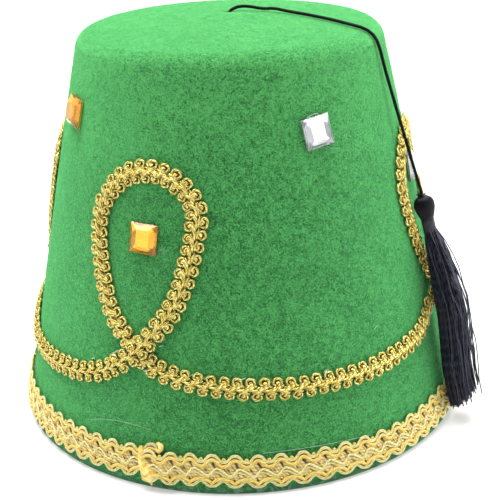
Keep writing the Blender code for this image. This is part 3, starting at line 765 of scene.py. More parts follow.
GROUND_OUT = 0.35
GROUND_THICK = 0.62
ground_lines = [hem_line(hem_wave(lambda w: float(y), steps=4), GROUND_OUT) for y in range(-3, 4)]
ground_lines.append(hem_line(hem_wave(lambda w: arches(w) + 0.35), GROUND_OUT))
ground_lines.append(hem_line(hem_wave(lambda w: (arches(w) + foot_scallops(w)) / 2), 0.20))
for name, cords, material, sides in (
        ("hem_braid_light_cords", light_cords, gimp_light, 5),
        ("hem_braid_gold_cords", gold_cords, gimp_gold, 7),
        ("hem_braid_slanting_threads", slanting_threads, gimp_slant, 6),
        ("hem_braid_ground", [(line, GROUND_THICK) for line in ground_lines], gimp_ground, 5),
        ("hem_braid_slits", painted_shade_slits, gimp_painted_shade, 5)):
    laid = lay(name, hem_route, hem_normals, cords, material, sides)
    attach(laid, "root")
    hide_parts("hem_braid")

melted_gimp, tree, shader = new_material("melted_gimp", (0.80, 0.56, 0.11), 0.17, Specular_IOR_Level=0.7,
                                         Subsurface_Weight=0.15, Subsurface_Scale=0.0008)
run_together = ramp_of(noise_of(tree, 420.0, 2.0, 0.5, 1.0), [
    (0.38, (0.66, 0.40, 0.06)), (0.50, (0.84, 0.60, 0.13)), (0.64, (0.93, 0.76, 0.26))])
feed(shader, Base_Color=run_together, Normal=bumped(0.5, 0.0005, noise_of(tree, 700.0)))
MELTED_DROPS = (             # (azimuth, height, out, radius)
    (-24.7, 15.6, 1.6, 0.9), (-24.4, 14.2, 2.0, 1.2), (-24.1, 12.8, 2.3, 1.4), (-24.0, 11.3, 2.4, 1.5),
    (-23.8, 9.8, 2.5, 1.6), (-23.2, 8.4, 2.7, 1.8), (-22.7, 7.0, 2.9, 1.9), (-21.6, 7.6, 3.2, 1.4),
    (-21.1, 6.2, 2.6, 1.4), (-22.7, 5.4, 2.6, 1.8), (-21.6, 4.8, 2.4, 1.5), (-22.0, 3.8, 2.0, 1.1),
    (-21.8, 2.9, 1.7, 0.7), (-21.7, 2.1, 1.5, 0.5), (-21.7, 1.5, 1.4, 0.3), (-23.2, 13.3, 1.7, 1.1),
    (-22.7, 11.2, 2.0, 1.2), (-22.0, 9.4, 2.5, 1.4), (-20.9, 8.9, 2.4, 1.1), (-20.4, 7.3, 2.2, 1.1),
    (-20.3, 18.3, 1.2, 0.8), (-19.6, 17.6, 1.4, 1.1), (-19.6, 16.4, 1.5, 1.1), (-20.1, 15.4, 1.5, 0.9),
    (-21.0, 15.9, 1.2, 0.8), (-22.0, 16.0, 1.1, 0.7), (-22.7, 14.9, 1.2, 0.9), (-21.9, 14.6, 1.2, 0.9))
BALL_REACH = 0.575           # a lone ball's surface stands at this share of its radius
drops = bpy.data.metaballs.new("melted_drops")
drops.resolution = 0.22
for azimuth, height, out, radius in MELTED_DROPS:
    ball = drops.elements.new()
    ball.co = on_wall(azimuth, height, out)
    ball.radius = radius / BALL_REACH
melted = add_object("melted_drops", drops)
bpy.context.view_layer.update()
evaluated = melted.evaluated_get(bpy.context.evaluated_depsgraph_get())
bm = bmesh.new()
bm.from_mesh(bpy.data.meshes.new_from_object(evaluated))
bpy.data.objects.remove(melted)
bmesh.ops.recalc_face_normals(bm, faces=bm.faces)
bm.transform(Matrix.Scale(MM, 4))
for face in bm.faces:
    face.smooth = True
join = add_mesh("hem_braid_melted_join", bm, melted_gimp)
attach(join, "root")
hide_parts("hem_braid")


# ---- The scroll braid ----------------------------------------------------------------------------------
# Narrow braid of metallic gold cord, worked in curls that stand alternately to its two sides. It is glued
# to the felt in four swags and four tall loops, and crosses over itself at the foot of each loop.

SCROLL_PITCH = 5.5           # one curl on each side, where the braid lies straight
CURL_PITCH_AT = (            # (height, one curl on each side)
    (30.0, 5.15), (46.0, 5.0), (62.0, 4.65), (130.0, 4.55))
SCROLL_THICKNESS = 1.8       # what the strand on top rises by where two strands cross
CROSSING_FLAT = 9.5
CROSSING_RAMP = 8.0
NEAREST_CROSSING = 20        # in marks along the braid
FARTHEST_CROSSING = 120
UNROLL_HEIGHT = 80.0
ROUTE_DETAIL = 12
LOOPS = (                    # (azimuth, lift at its entry, height of the swag that follows)
    (-26.3, 0.0, 39.6), (77.2, 12.0, 39.0), (166.0, 3.0, 38.0), (255.5, 4.0, 35.2))
SWAG_DIP = 0.8
LOOP_ROUTE = (               # (azimuth, height, share of the entry's lift)
    (-19.4, 37.9, 0.55), (-12.5, 40.8, 0.90), (-5.4, 46.7, 1.00), (0.1, 53.7, 1.00), (4.6, 61.2, 0.80),
    (8.7, 69.8, 0.45), (11.6, 78.7, 0.20), (13.6, 88.5, 0.0), (15.2, 98.7, 0.0), (15.7, 106.5, 0.0),
    (13.2, 113.0, 0.0), (8.8, 117.7, 0.0), (1.0, 120.2, 0.0), (-6.5, 118.1, 0.0), (-12.0, 112.1, 0.0),
    (-15.6, 104.2, 0.0), (-16.1, 96.0, 0.0), (-14.6, 85.0, 0.0), (-11.8, 73.4, 0.0), (-8.9, 64.6, 0.0),
    (-2.6, 55.5, 0.0), (3.1, 48.6, 0.0), (7.8, 45.7, 0.0), (15.5, 43.0, 0.0))


def swing(points, per_span):
    """A smooth curve through the points: centripetal Catmull-Rom, read per_span times in each span."""
    ends = [points[0] * 2 - points[1]] + list(points) + [points[-1] * 2 - points[-2]]
    result = []
    for i in range(len(points) - 1):
        p = ends[i:i + 4]
        t = [0.0]
        for a, b in zip(p, p[1:]):
            t.append(t[-1] + (b - a).length ** 0.5)
        for s in range(per_span):
            u = t[1] + (t[2] - t[1]) * s / per_span
            a1 = p[0].lerp(p[1], u / t[1])
            a2 = p[1].lerp(p[2], (u - t[1]) / (t[2] - t[1]))
            a3 = p[2].lerp(p[3], (u - t[2]) / (t[3] - t[2]))
            b1 = a1.lerp(a2, u / t[2])
            b2 = a2.lerp(a3, (u - t[1]) / (t[3] - t[1]))
            result.append(b1.lerp(b2, (u - t[1]) / (t[2] - t[1])))
    result.append(points[-1].copy())
    return result


def evenly(points, steps, place=lambda p: p):
    """The polyline read again at steps + 1 even distances, which are measured between placed points."""
    run = run_of(points, place)
    result = []
    k = 0
    for i in range(steps + 1):
        s = run[-1] * i / steps
        while k < len(points) - 2 and run[k + 1] < s:
            k += 1
        result.append(points[k].lerp(points[k + 1], (s - run[k]) / (run[k + 1] - run[k])))
    return result


def scroll_rows():
    """The whole round of swags and loops as (azimuth, height) rows, four loops one after another."""
    rows = []
    middles = [loop[0] for loop in LOOPS] + [LOOPS[0][0] + 360.0]
    for i, (middle, entry_lift, swag_height) in enumerate(LOOPS):
        for azimuth, height, share in LOOP_ROUTE:
            rows.append((middle + azimuth, height + share * entry_lift))
        begin, end = middle + LOOP_ROUTE[-1][0], middles[i + 1] + LOOP_ROUTE[0][0]
        for t in (0.25, 0.5, 0.75):
            rows.append((begin + (end - begin) * t, swag_height + SWAG_DIP * (4 * t - 2) ** 2))
    return rows


def crossings(marks):
    """The places (as fractional mark numbers) where the strip passes over a later part of itself."""
    found = []
    for i in range(len(marks) - 1):
        for j in range(i + NEAREST_CROSSING, min(len(marks) - 1, i + FARTHEST_CROSSING)):
            p, r = marks[i], marks[i + 1] - marks[i]
            q, s = marks[j], marks[j + 1] - marks[j]
            cross = r.x * s.y - r.y * s.x
            if cross == 0.0:
                continue
            t = ((q - p).x * s.y - (q - p).y * s.x) / cross
            u = ((q - p).x * r.y - (q - p).y * r.x) / cross
            if 0 <= t < 1 and 0 <= u < 1:
                found.append(i + t)
    return found


unroll = math.radians(1.0) * side_radius(UNROLL_HEIGHT)
round_turn = Vector((360.0 * unroll, 0.0, 0.0))
knots = [Vector((azimuth * unroll, height, 0.0)) for azimuth, height in scroll_rows()]
knots = [knots[-1] - round_turn] + knots + [knots[0] + round_turn, knots[1] + round_turn]
scroll_drawn = swing(knots, ROUTE_DETAIL)[ROUTE_DETAIL:-ROUTE_DETAIL]


def on_roll(p):
    return on_wall(p.x / unroll, p.y)


scroll_length = run_of(scroll_drawn, on_roll)[-1]
mark_count = 2 * round(scroll_length / SCROLL_PITCH)
scroll_step = scroll_length / mark_count
scroll_over = [m * scroll_step for m in crossings(evenly(scroll_drawn, mark_count, on_roll))]
fine_marks = evenly(scroll_drawn, 3 * mark_count, on_roll)[:-1]
scroll_route = [on_roll(p) for p in fine_marks]
scroll_normals = [wall_normal(p.x / unroll) for p in fine_marks]


def scroll_lift(x):
    nearest = min(min(abs(x - m), scroll_length - abs(x - m)) for m in scroll_over)
    return SCROLL_THICKNESS * smooth_step((CROSSING_FLAT + CROSSING_RAMP - nearest) / CROSSING_RAMP)


# One curl: how far along the braid, how far outward from its middle, how far out from the felt, and thickness
CURL = (
    (-4.2, -1.25, 0.70, 0.48), (-3.0, -0.55, 1.35, 0.56), (-1.6, 0.30, 1.85, 0.60), (0.0, 1.05, 1.85, 0.60),
    (1.20, 1.75, 1.50, 0.58), (1.60, 2.70, 1.20, 0.58), (1.14, 3.62, 1.05, 0.58), (0.0, 4.02, 1.00, 0.58),
    (-1.14, 3.62, 1.00, 0.58), (-1.58, 2.65, 1.05, 0.58), (-1.15, 1.75, 1.20, 0.57),
    (-0.20, 1.35, 1.45, 0.62), (0.50, 1.80, 1.65, 0.70), (0.30, 2.50, 1.75, 0.74), (-0.40, 2.30, 1.70, 0.66))
# A strand that runs beside the foot of each curl and fills the plait between the two rows
LEAF = (
    (-4.6, 0.15, 1.3, 0.40), (-3.0, -0.15, 2.1, 0.50), (-1.2, 0.05, 2.5, 0.56), (0.7, 0.75, 2.2, 0.52),
    (2.1, 1.50, 1.3, 0.42))
CURL_DETAIL = 2
SHADE_REACH = 2.6           # how far the dark zigzag thread, painted shade in the curls' eyes, goes to either side, and how far out it lies
SCROLL_SHADE_OUT = 0.5
SCROLL_SHADE_THICK = 0.60
CORE_APART = 0.55            # the two straight core cords
CORE_OUT = 0.7
CORE_THICK = 0.60
curl_line = [tuple(p) for p in swing([Vector(row[:3]) for row in CURL], CURL_DETAIL)]
curl_thick = [p.x for p in swing([Vector((row[3], k, 0.0)) for k, row in enumerate(CURL)], CURL_DETAIL)]


def curl_places():
    """How far along the braid each curl stands: closer together high up in the loops."""
    runs, curls = run_of(scroll_drawn, on_roll), [0.0]
    for a, b in zip(scroll_drawn, scroll_drawn[1:]):
        step = (on_roll(b) - on_roll(a)).length
        curls.append(curls[-1] + 2 * step / read_table(CURL_PITCH_AT, (a.y + b.y) / 2))
    count = 2 * round(curls[-1] / 2)
    places, k = [], 0
    for i in range(count):
        wanted = curls[-1] * i / count
        while curls[k + 1] < wanted:
            k += 1
        places.append(runs[k] + (runs[k + 1] - runs[k]) * (wanted - curls[k]) / (curls[k + 1] - curls[k]))
    return places


draw = random.Random(7)
curls, curl_shade_line, core_cords = [], [], []
for i, middle in enumerate(curl_places()):
    side = 1 if i % 2 else -1
    grown = 1.0 + draw.uniform(-0.05, 0.05)
    slip = draw.uniform(-0.12, 0.12)
    raised = draw.uniform(-0.08, 0.08)
    curl = [(middle + slip + x * grown, side * y * grown, z + raised + scroll_lift(middle + x))
            for x, y, z in curl_line]
    curls.append((curl, curl_thick))
    # A dark zigzag thread under the curls: painted shade in each curl's eye
    curl_shade_line += [(middle + x, side * SHADE_REACH, SCROLL_SHADE_OUT + scroll_lift(middle))
                    for x in (-0.5, 0.5)]
    leaf = [(middle + x, side * y, z + scroll_lift(middle + x)) for x, y, z, thick in LEAF]
    core_cords.append((leaf, [row[3] for row in LEAF]))
core_runs = [scroll_length * i / (mark_count * 2) for i in range(mark_count * 2)]
for side in (-CORE_APART, CORE_APART):
    core_cords.append(([(run, side, CORE_OUT + scroll_lift(run)) for run in core_runs], CORE_THICK))

curl_gold = cord_material("curl_gold", ((0.07, 0.026, 0.002), (0.62, 0.465, 0.075), (0.84, 0.74, 0.24)),
                          0.30, 2.0, 0.0021, bump=1.0, depth=0.0004, Metallic=0.6, Specular_IOR_Level=0.7)
# Painted shade: the dark thread that shows in the curls' eyes stands for the shade in them
curl_painted_shade = cord_material("curl_painted_shade", ((0.02, 0.01, 0.003), (0.07, 0.045, 0.01), (0.18, 0.12, 0.03)),
                            0.5, 3.0, 0.0011, Metallic=0.4)
for name, cords, material in (("scroll_braid_curls", curls, curl_gold),
                              ("scroll_braid_core", core_cords, curl_gold),
                              ("scroll_braid_ground", [(curl_shade_line, SCROLL_SHADE_THICK)], curl_painted_shade)):
    laid = lay(name, scroll_route, scroll_normals, cords, material, 5, closed=True)
    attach(laid, "root")
    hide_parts("scroll_braid")


# ---- The stones ----------------------------------------------------------------------------------------
# Square flat-backed acrylic stones, moulded with a table and bevelled facets and silvered behind with foil,
# are glued to the felt: four amber and four clear.

GEM_SIDE = 11.6
GEM_GIRDLE = 0.9
GEM_HEIGHT = 3.1
TABLE_HALF = 3.5
TABLE_CORNER = 1.1
EDGE_WEAR = 0.12             # how far a stone's moulded edges are rounded
FOIL_THICKNESS = 0.75        # the silvered lacquer with the filler behind it
FOIL_INSET = 0.1
FOIL_DEPTH = 0.06            # how far the foil's back lies inside the stone's
GEMS = (
    # name              azimuth height turn_deg colour
    ("gem_loop_front", -26.4, 95.4, -2.5, "amber"),
    ("gem_mid_front_right", 27.2, 132.0, 7.5, "clear"),
    ("gem_loop_right", 74.5, 104.5, -9.0, "clear"),
    ("gem_mid_back_right", 121.5, 132.5, -5.0, "amber"),
    ("gem_loop_back", 166.5, 97.0, 4.0, "amber"),
    ("gem_mid_back_left", 211.0, 131.0, 6.0, "clear"),
    ("gem_loop_left", 255.0, 98.0, -4.0, "clear"),
    ("gem_mid_front_left", 296.6, 134.9, -3.0, "amber"),
)
STONE_COLOURS = {
    # name    body               foil
    "amber": ((1.0, 0.66, 0.12), (0.94, 0.68, 0.19)),
    "clear": ((0.97, 0.98, 1.0), (0.88, 0.89, 0.91)),
}


def wall_frame(azimuth, height, turn, out):
    """Stands a piece on the felt: x along the wall, y up it and z out from it."""
    normal = wall_normal(azimuth)
    right = Vector((0, 0, 1)).cross(direction(azimuth)).normalized()
    axes = Matrix((right, normal.cross(right).normalized(), normal)).transposed().to_4x4()
    turned_round = Matrix.Rotation(math.radians(turn), 4, "Z")
    return Matrix.Translation(on_wall(azimuth, height, out) * MM) @ axes @ turned_round


def stone_shape():
    half = GEM_SIDE / 2
    cut = TABLE_HALF - TABLE_CORNER
    bm = bmesh.new()
    for sx in (-1, 1):
        for sy in (-1, 1):
            for x, y, z in ((half, half, 0.0), (half, half, GEM_GIRDLE),
                            (TABLE_HALF, cut, GEM_HEIGHT), (cut, TABLE_HALF, GEM_HEIGHT)):
                bm.verts.new((sx * x * MM, sy * y * MM, z * MM))
    bmesh.ops.convex_hull(bm, input=bm.verts)
    bmesh.ops.dissolve_limit(bm, angle_limit=math.radians(1.0), verts=bm.verts, edges=bm.edges)
    bmesh.ops.bevel(bm, geom=bm.edges[:], offset=EDGE_WEAR * MM, segments=2, profile=0.6, affect="EDGES",
                    clamp_overlap=True)
    bmesh.ops.recalc_face_normals(bm, faces=bm.faces)
    return bm


def foil_shape():
    bm = bmesh.new()
    bmesh.ops.create_grid(bm, x_segments=6, y_segments=6, size=(GEM_SIDE / 2 - FOIL_INSET) * MM)
    kept = bmesh.ops.extrude_face_region(bm, geom=bm.faces[:])["geom"]
    bmesh.ops.translate(bm, verts=[v for v in kept if isinstance(v, bmesh.types.BMVert)],
                        vec=(0, 0, FOIL_THICKNESS * MM))
    bmesh.ops.recalc_face_normals(bm, faces=bm.faces)
    return bm


stone_materials = {}
for colour, (body, foil) in STONE_COLOURS.items():
    acrylic, tree, shader = new_material("acrylic_" + colour, body, 0.03, IOR=1.49, Transmission_Weight=0.94,
                                         Specular_IOR_Level=0.3)
    feed(shader, Roughness=ranged(noise_of(tree, 160.0), 0.0, 1.0, 0.01, 0.035),
         Normal=bumped(0.15, 0.0003, noise_of(tree, 240.0, 1.0)))
    back, tree, shader = new_material("foil_" + colour, foil, 0.13, Metallic=0.95)
    feed(shader, Normal=bumped(0.2, 0.0004, noise_of(tree, 190.0)))
    stone_materials[colour] = (acrylic, back)

for name, azimuth, height, turn, colour in GEMS:
    acrylic, back = stone_materials[colour]
    bm = stone_shape()
    bm.transform(wall_frame(azimuth, height, turn, GAP))
    stone = add_mesh(name + "_stone", bm, acrylic)
    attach(stone, "root")
    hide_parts(name)
    bm = foil_shape()
    bm.transform(wall_frame(azimuth, height, turn, GAP + FOIL_DEPTH))
    foil = add_mesh(name + "_foil", bm, back)
    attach(foil, "root")


# ---- The threads of glue -------------------------------------------------------------------------------
# Fine strings of clear hot glue, pulled out when the glue stick was taken away from the braids and the stones
# and left lying on the felt, with a few blobs squeezed out from under them.

GLUE_STRINGS = (
    # rows of (azimuth, height, out), and how thick
    (((-41.5, 19.6, 0.1), (-39.0, 20.9, 0.4), (-36.0, 22.3, 0.7), (-32.0, 23.6, 0.8), (-27.0, 23.7, 0.6),
      (-22.8, 22.8, 0.1)), 0.08),
    (((4.6, 15.7, 0.2), (13.4, 15.9, 0.5), (23.2, 15.3, 0.5), (32.5, 13.8, 0.3)), 0.10),
    (((-22.4, 90.6, 0.2), (-21.6, 91.7, 0.5), (-20.9, 91.9, 0.6), (-19.9, 93.1, 0.3)), 0.08),
    (((-21.4, 92.3, 0.2), (-20.4, 91.3, 0.5), (-20.1, 90.6, 0.2)), 0.08),
    (((-33.0, 71.8, 0.2), (-31.8, 71.0, 0.5), (-31.4, 69.2, 0.3)), 0.08),
    (((30.1, 126.2, 0.3), (32.0, 124.8, 0.5), (34.3, 124.4, 0.3)), 0.08),
    (((30.0, 126.0, 0.3), (29.5, 123.6, 0.2)), 0.07),
    (((24.2, 137.3, 0.5), (25.8, 138.2, 0.9), (27.7, 138.4, 0.9), (28.9, 137.5, 0.5)), 0.16),
)
GLUE_BLOBS = (               # (azimuth, height, radius)
    (-33.2, 50.6, 0.58), (-34.0, 49.8, 0.43), (-41.4, 44.6, 0.36), (-20.1, 58.5, 0.29), (-20.4, 56.0, 0.29),
    (-24.4, 45.8, 0.65), (-23.8, 44.9, 0.50), (-12.3, 45.9, 0.36), (-10.8, 45.5, 0.43), (-8.8, 44.9, 0.36),
    (0.6, 44.8, 0.29), (21.7, 43.8, 0.33), (38.4, 54.4, 0.20), (-40.6, 93.0, 0.36))
BLOB_SHAPE = (               # (how far along it, share of its radius)
    (-1.6, 0.15), (-1.1, 0.7), (0.0, 1.0), (1.1, 0.7), (1.6, 0.15))
BLOB_OUT = 0.3
clear_glue, tree, shader = new_material("clear_glue", (0.50, 0.72, 0.58), 0.25, Transmission_Weight=0.35,
                                        IOR=1.45)
feed(shader, Normal=bumped(0.4, 0.0003, noise_of(tree, 900.0)))
string_tree, size = new_tree("drawn_strings")
finish_tree(string_tree, size, swept(curve_of(size["Geometry"]), 6))
lines, thick = [], []
for rows, radius in GLUE_STRINGS:
    line = swing([on_wall(*row) * MM for row in rows], 5)
    lines.append(line)
    thick += [radius * MM] * len(line)
for azimuth, height, radius in GLUE_BLOBS:
    lines.append([on_wall(azimuth + t * 0.5, height + t * 0.3, BLOB_OUT) * MM for t, share in BLOB_SHAPE])
    thick += [radius * share * MM for t, share in BLOB_SHAPE]
glue = grow("glue_threads", edge_mesh("glue_lines", lines, thick=thick), string_tree, clear_glue)
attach(glue, "root")


# ---- The tassel's cord ---------------------------------------------------------------------------------
# A thin black cord of three twisted strands. It is knotted inside the crown, comes out of the hole in the
# top, lies across the felt, goes over the edge and hangs down to the tassel's head.

CORD_RADIUS = 0.8
CORD_CLEAR = 0.4
CORD_POINTS = 46
CORD_OVER_TOP = (            # (x, y, how much higher than lying on the felt)
    (0.0, 0.0, -3.1), (0.5, 0.4, -1.0), (2.6, 1.3, 0.2), (5.8, 1.7, 0.7), (9.2, 1.2, 0.5), (14.2, -0.6, 0.0),
    (18.2, -2.4, 0.5), (23.5, -5.2, 0.05), (31.0, -10.2, 0.0), (39.0, -15.8, 0.0), (46.4, -21.4, 0.0),
    (51.4, -25.4, 0.0))
CORD_OVER_EDGE = (           # (degrees of the rounding still to go, azimuth)
    (66.0, 63.8), (45.0, 64.1), (24.0, 64.4))
CORD_BOW = 2.2
HANG_AZIMUTH = 66.6
HEAD_TOP_RADIUS = 82.0
HEAD_TOP_HEIGHT = 95.6
HANG_TILT = math.radians(14.1)
STRAND_RADIUS = 0.315
STRAND_OFFSET = 0.41
STRAND_TWIST = 3.6           # length of one turn
hang_out = direction(HANG_AZIMUTH)
hang_up = Vector((0, 0, 1)) * math.cos(HANG_TILT) - hang_out * math.sin(HANG_TILT)
hang_forward = hang_out * math.cos(HANG_TILT) + Vector((0, 0, 1)) * math.sin(HANG_TILT)
hang_side = hang_up.cross(hang_forward)
hang_origin = hang_out * HEAD_TOP_RADIUS + Vector((0, 0, HEAD_TOP_HEIGHT))
hang_axes = Matrix((hang_forward, hang_side, hang_up)).transposed().to_4x4()
hang_frame = Matrix.Translation(hang_origin * MM) @ hang_axes

lying = CORD_RADIUS + CORD_CLEAR
cord_points = [Vector((x, y, top_face(math.hypot(x, y)) + lying + higher)) for x, y, higher in CORD_OVER_TOP]
for turn_over, azimuth in CORD_OVER_EDGE:
    a = math.radians(turn_over)
    reach = EDGE_ROUNDING + lying
    cord_points.append(direction(azimuth) * (ARC_RADIUS + reach * math.cos(a))
                       + Vector((0, 0, ARC_HEIGHT + reach * math.sin(a))))
hang_start = cord_points[-1]
hang_end = hang_origin + Vector((0, 0, CORD_CLEAR))
for t in (0.2, 0.5, 0.8, 1.0):
    cord_points.append(hang_start.lerp(hang_end, t) + direction(HANG_AZIMUTH - 90.0) * CORD_BOW * t * (1 - t))
cord_path = evenly(swing(cord_points, 12), CORD_POINTS)
cord_length = run_of(cord_path)[-1]

tree, size = new_tree("twisted_cord", Strands=3, Strand_Offset=0.0004, Twist_Length=0.0034, Strand_Sides=8)
middle_curve = put(tree, "GeometryNodeResampleCurve", {"Curve": curve_of(size["Geometry"]), "Count": 420},
                   mode="COUNT")
copies = put(tree, "GeometryNodeDuplicateElements", {"Geometry": middle_curve, "Amount": size["Strands"]},
             domain="SPLINE").node.outputs
run = put(tree, "GeometryNodeSplineParameter", output="Length")
angle = maths("MULTIPLY", maths("DIVIDE", run, size["Twist Length"]), math.tau)
share = maths("DIVIDE", copies["Duplicate Index"], size["Strands"])
turned_normal = put(tree, "ShaderNodeVectorRotate",
                    {"Vector": put(tree, "GeometryNodeInputNormal"),
                     "Axis": put(tree, "GeometryNodeInputTangent"),
                     "Angle": maths("MULTIPLY_ADD", share, math.tau, angle)}, rotation_type="AXIS_ANGLE")
aside = scaled(turned_normal, size["Strand Offset"])
strands = put(tree, "GeometryNodeSetPosition", {"Geometry": copies[0], "Offset": aside})
finish_tree(tree, size, swept(strands, size["Strand Sides"]))

black_cord = cord_material(
    "black_cord", ((0.001, 0.001, 0.001), (0.002, 0.002, 0.002), (0.009, 0.010, 0.012)), 0.5, 4.0, 0.0012,
    Specular_IOR_Level=0.11)
cord_base = edge_mesh("tassel_cord_line", [[p * MM for p in cord_path]],
                      thick=[STRAND_RADIUS * MM] * len(cord_path))
tassel_cord = grow("tassel_cord_strands", cord_base, tree, black_cord, Strand_Offset=STRAND_OFFSET * MM,
                   Twist_Length=STRAND_TWIST * MM)
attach(tassel_cord, "root")
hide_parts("tassel_cord")


# ---- The tassel ----------------------------------------------------------------------------------------
# A hank of black rayon threads, hung over the cord's end, bound round with thread below its head and cut to
# an uneven skirt that hangs along the side of the hat.

TASSEL_SECTIONS = (
    # drop  width depth sway  out
    (14.0, 1.9, 1.9, 0.0, 0.0),
    (15.5, 2.5, 2.4, 0.0, 0.1),
    (18.0, 3.3, 3.1, -0.2, 0.4),
    (29.0, 5.0, 4.5, -2.0, 1.7),
    (46.0, 6.6, 5.5, -2.4, 2.4),
    (62.0, 7.4, 5.7, -2.2, 0.6),
    (74.0, 7.6, 5.7, -3.2, -0.6),
    (92.5, 7.0, 5.6, -3.9, -0.8),
)
SKIRT_STEPS = 13
SKIRT_THREAD = 0.24
STRAY_THREAD = 0.30
HEAD_THREAD = 0.40
HEAD_SECTION = (             # (drop, radius)
    (0.1, 0.5), (0.4, 1.7), (1.2, 2.95), (2.4, 3.7), (3.8, 3.9), (5.3, 3.7), (6.9, 3.25), (8.3, 2.8),
    (9.3, 2.35), (15.5, 2.0))
BINDING_TURNS = 16
TURN_STEPS = 14
BINDING_TOP = 9.1
BINDING_BOTTOM = 15.6
BINDING_RADIUS = 2.5
BINDING_THREAD = 0.22

tree, size = new_tree("tassel_skirt", Strands=900, Outward=(1.0, 0.0, 0.0), Sideways=(0.0, 1.0, 0.0),
                      Waviness=0.0005, Seed=3)
copies = put(tree, "GeometryNodeDuplicateElements", {"Geometry": curve_of(size["Geometry"]),
                                                     "Amount": size["Strands"]}, domain="SPLINE").node.outputs
which = copies["Duplicate Index"]


def chance_of(number, low, high):
    """A random number for each strand."""
    return put(tree, "FunctionNodeRandomValue",
               {"Min_001": low, "Max_001": high, "ID": which,
                "Seed": maths("ADD", size["Seed"], float(number))}, output="Value_001", data_type="FLOAT")


radius = maths("SQRT", chance_of(1, 0.02, 1.0))
angle = chance_of(2, 0.0, math.tau)
forward = maths("MULTIPLY", radius, maths("COSINE", angle))
deep = maths("MULTIPLY", forward, named(tree, "deep"))
wide = maths("MULTIPLY", maths("MULTIPLY", radius, maths("SINE", angle)), named(tree, "wide"))
shift = vectors("ADD", scaled(size["Outward"], deep), scaled(size["Sideways"], wide))
strand_number = put(tree, "ShaderNodeCombineXYZ", {0: maths("MULTIPLY", which, 0.37)})
wave_spot = vectors("ADD", scaled(put(tree, "GeometryNodeInputPosition"), 45.0), strand_number)
wave = put(tree, "ShaderNodeTexNoise", {"Vector": wave_spot, "Scale": 1.0, "Detail": 1.0}, output="Color")
wave = scaled(vectors("SUBTRACT", wave, (0.5, 0.5, 0.5)), size["Waviness"])
hung = put(tree, "GeometryNodeSetPosition", {"Geometry": copies[0], "Offset": vectors("ADD", shift, wave)})
# Each strand is cut at a share of its length: the front ones a little higher, and all of them unevenly
cut_at = maths("MULTIPLY", chance_of(3, 0.945, 1.0), maths("MULTIPLY_ADD", forward, -0.035, 0.958))
cut = put(tree, "GeometryNodeTrimCurve", {"Curve": hung, 3: cut_at}, mode="FACTOR")
finish_tree(tree, size, swept(cut, 3))

black_thread = cord_material(
    "black_thread", ((0.001, 0.001, 0.002), (0.004, 0.004, 0.010), (0.019, 0.019, 0.038)), 0.38, 2.0, 0.004,
    Specular_IOR_Level=0.5, Specular_Tint=(0.80, 0.83, 1.0, 1.0))
first, last = TASSEL_SECTIONS[0][0], TASSEL_SECTIONS[-1][0]
drops = [first + (last - first) * i / SKIRT_STEPS for i in range(SKIRT_STEPS + 1)]
wide, deep, sway, out = ([read_table([(row[0], row[column]) for row in TASSEL_SECTIONS], drop)
                          for drop in drops] for column in (1, 2, 3, 4))


def skirt_base(name, thread, stand_off=0.0, wider=1.0, deeper=1.0):
    """The skirt's middle line. It stands off by stand_off more some way down."""
    line = [(hang_forward * (o + stand_off * smooth_step((drop - first) / 30.0)) + hang_side * s
             - hang_up * drop + hang_origin) * MM for drop, s, o in zip(drops, sway, out)]
    return edge_mesh(name, [line], wide=[v * wider * MM for v in wide], deep=[v * deeper * MM for v in deep],
                     thick=[thread * MM] * len(line))


# The strays are strands that have slipped out of the hank and hang a little apart
skirt = grow("tassel_skirt", skirt_base("tassel_skirt_line", SKIRT_THREAD), tree, black_thread,
             Outward=hang_forward, Sideways=hang_side, Waviness=0.0022)
strays = grow("tassel_stray_strands", skirt_base("tassel_stray_line", STRAY_THREAD, 1.9, 1.2, 1.12), tree,
              black_thread, Strands=48, Outward=hang_forward, Sideways=hang_side, Waviness=0.0060, Seed=40)

# The head: threads side by side round a core, each one the same bow turned about the tassel's axis
tree, size = new_tree("threads_round_an_axis", Threads=32)
spots = put(tree, "GeometryNodePoints", {"Count": size["Threads"]})
share = maths("DIVIDE", put(tree, "GeometryNodeInputIndex"), size["Threads"])
turn = put(tree, "ShaderNodeCombineXYZ", {"Z": maths("MULTIPLY", share, math.tau)})
finish_tree(tree, size, put(tree, "GeometryNodeInstanceOnPoints", {
    "Points": spots, "Instance": swept(curve_of(size["Geometry"]), 6), "Rotation": turn}))
head_thread = cord_material(
    "head_thread", ((0.001, 0.001, 0.002), (0.004, 0.004, 0.007), (0.006, 0.006, 0.012)), 0.24, 2.0, 0.003,
    Specular_IOR_Level=0.16)
bow_line = [tuple(p) for p in swing([Vector((r, 0.0, -drop)) * MM for drop, r in HEAD_SECTION], 2)]
bow = edge_mesh("tassel_head_line", [bow_line], thick=[HEAD_THREAD * MM] * len(bow_line))
head = grow("tassel_head", bow, tree, head_thread)
head.data.transform(hang_frame)
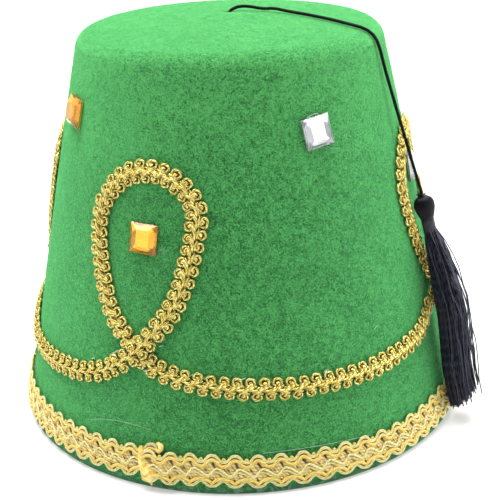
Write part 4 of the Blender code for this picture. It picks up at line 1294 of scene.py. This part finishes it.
tree, size = new_tree("turned_core", Turned_Faces=24, Hub=0.000001)
finish_tree(tree, size, turned(tree, size))
core_line = [(0.0, 0.3 * MM, 0.0)] + [(r * 0.96 * MM, drop * MM, 0.0) for drop, r in HEAD_SECTION]
core = grow("tassel_head_core", edge_mesh("tassel_core_line", [core_line]), tree, black_thread)
core.data.transform(hang_frame)

# A few ends of thread stand up beside the cord where it goes into the head
TUFT = (
    # forward side  up    forward side  up
    (-1.0, 0.3, 0.2, -1.9, 0.5, 2.2),
    (-0.9, -0.3, 0.3, -1.5, -0.7, 2.7),
    (-0.6, 0.6, 0.4, -0.9, 0.9, 2.0),
    (-1.3, 0.0, 0.0, -2.6, 0.1, 1.6),
    (0.9, 0.4, 0.3, 1.5, 0.9, 1.3),
    (0.5, -0.8, 0.3, 0.9, -1.3, 1.5),
)
TUFT_THREAD = (0.42, 0.32, 0.10)
ends = [[hang_frame @ (Vector(row[:3]).lerp(Vector(row[3:]), t) * MM) for t in (0.0, 0.5, 1.0)]
        for row in TUFT]
tuft = grow("tassel_tuft", edge_mesh("tuft_lines", ends, thick=[t * MM for row in TUFT for t in TUFT_THREAD]),
            string_tree, black_thread)

turns = []
for i in range(BINDING_TURNS * TURN_STEPS + 1):
    a = math.tau * i / TURN_STEPS
    drop = BINDING_TOP + (BINDING_BOTTOM - BINDING_TOP) * i / (BINDING_TURNS * TURN_STEPS)
    spot = Vector((BINDING_RADIUS * math.cos(a), BINDING_RADIUS * math.sin(a), -drop))
    turns.append(hang_frame @ (spot * MM))
slate_thread = cord_material(
    "slate_thread", ((0.004, 0.004, 0.006), (0.018, 0.018, 0.027), (0.04, 0.04, 0.06)), 0.5, 2.0, 0.0008)
wound = edge_mesh("binding_line", [turns], thick=[BINDING_THREAD * MM] * len(turns))
binding = grow("tassel_binding_thread", wound, string_tree, slate_thread)
for piece, node in ((skirt, "tassel"), (strays, "tassel"), (head, "tassel"), (core, "tassel"),
                    (tuft, "tassel"), (binding, "tassel_binding")):
    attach(piece, "root")
    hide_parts(node)
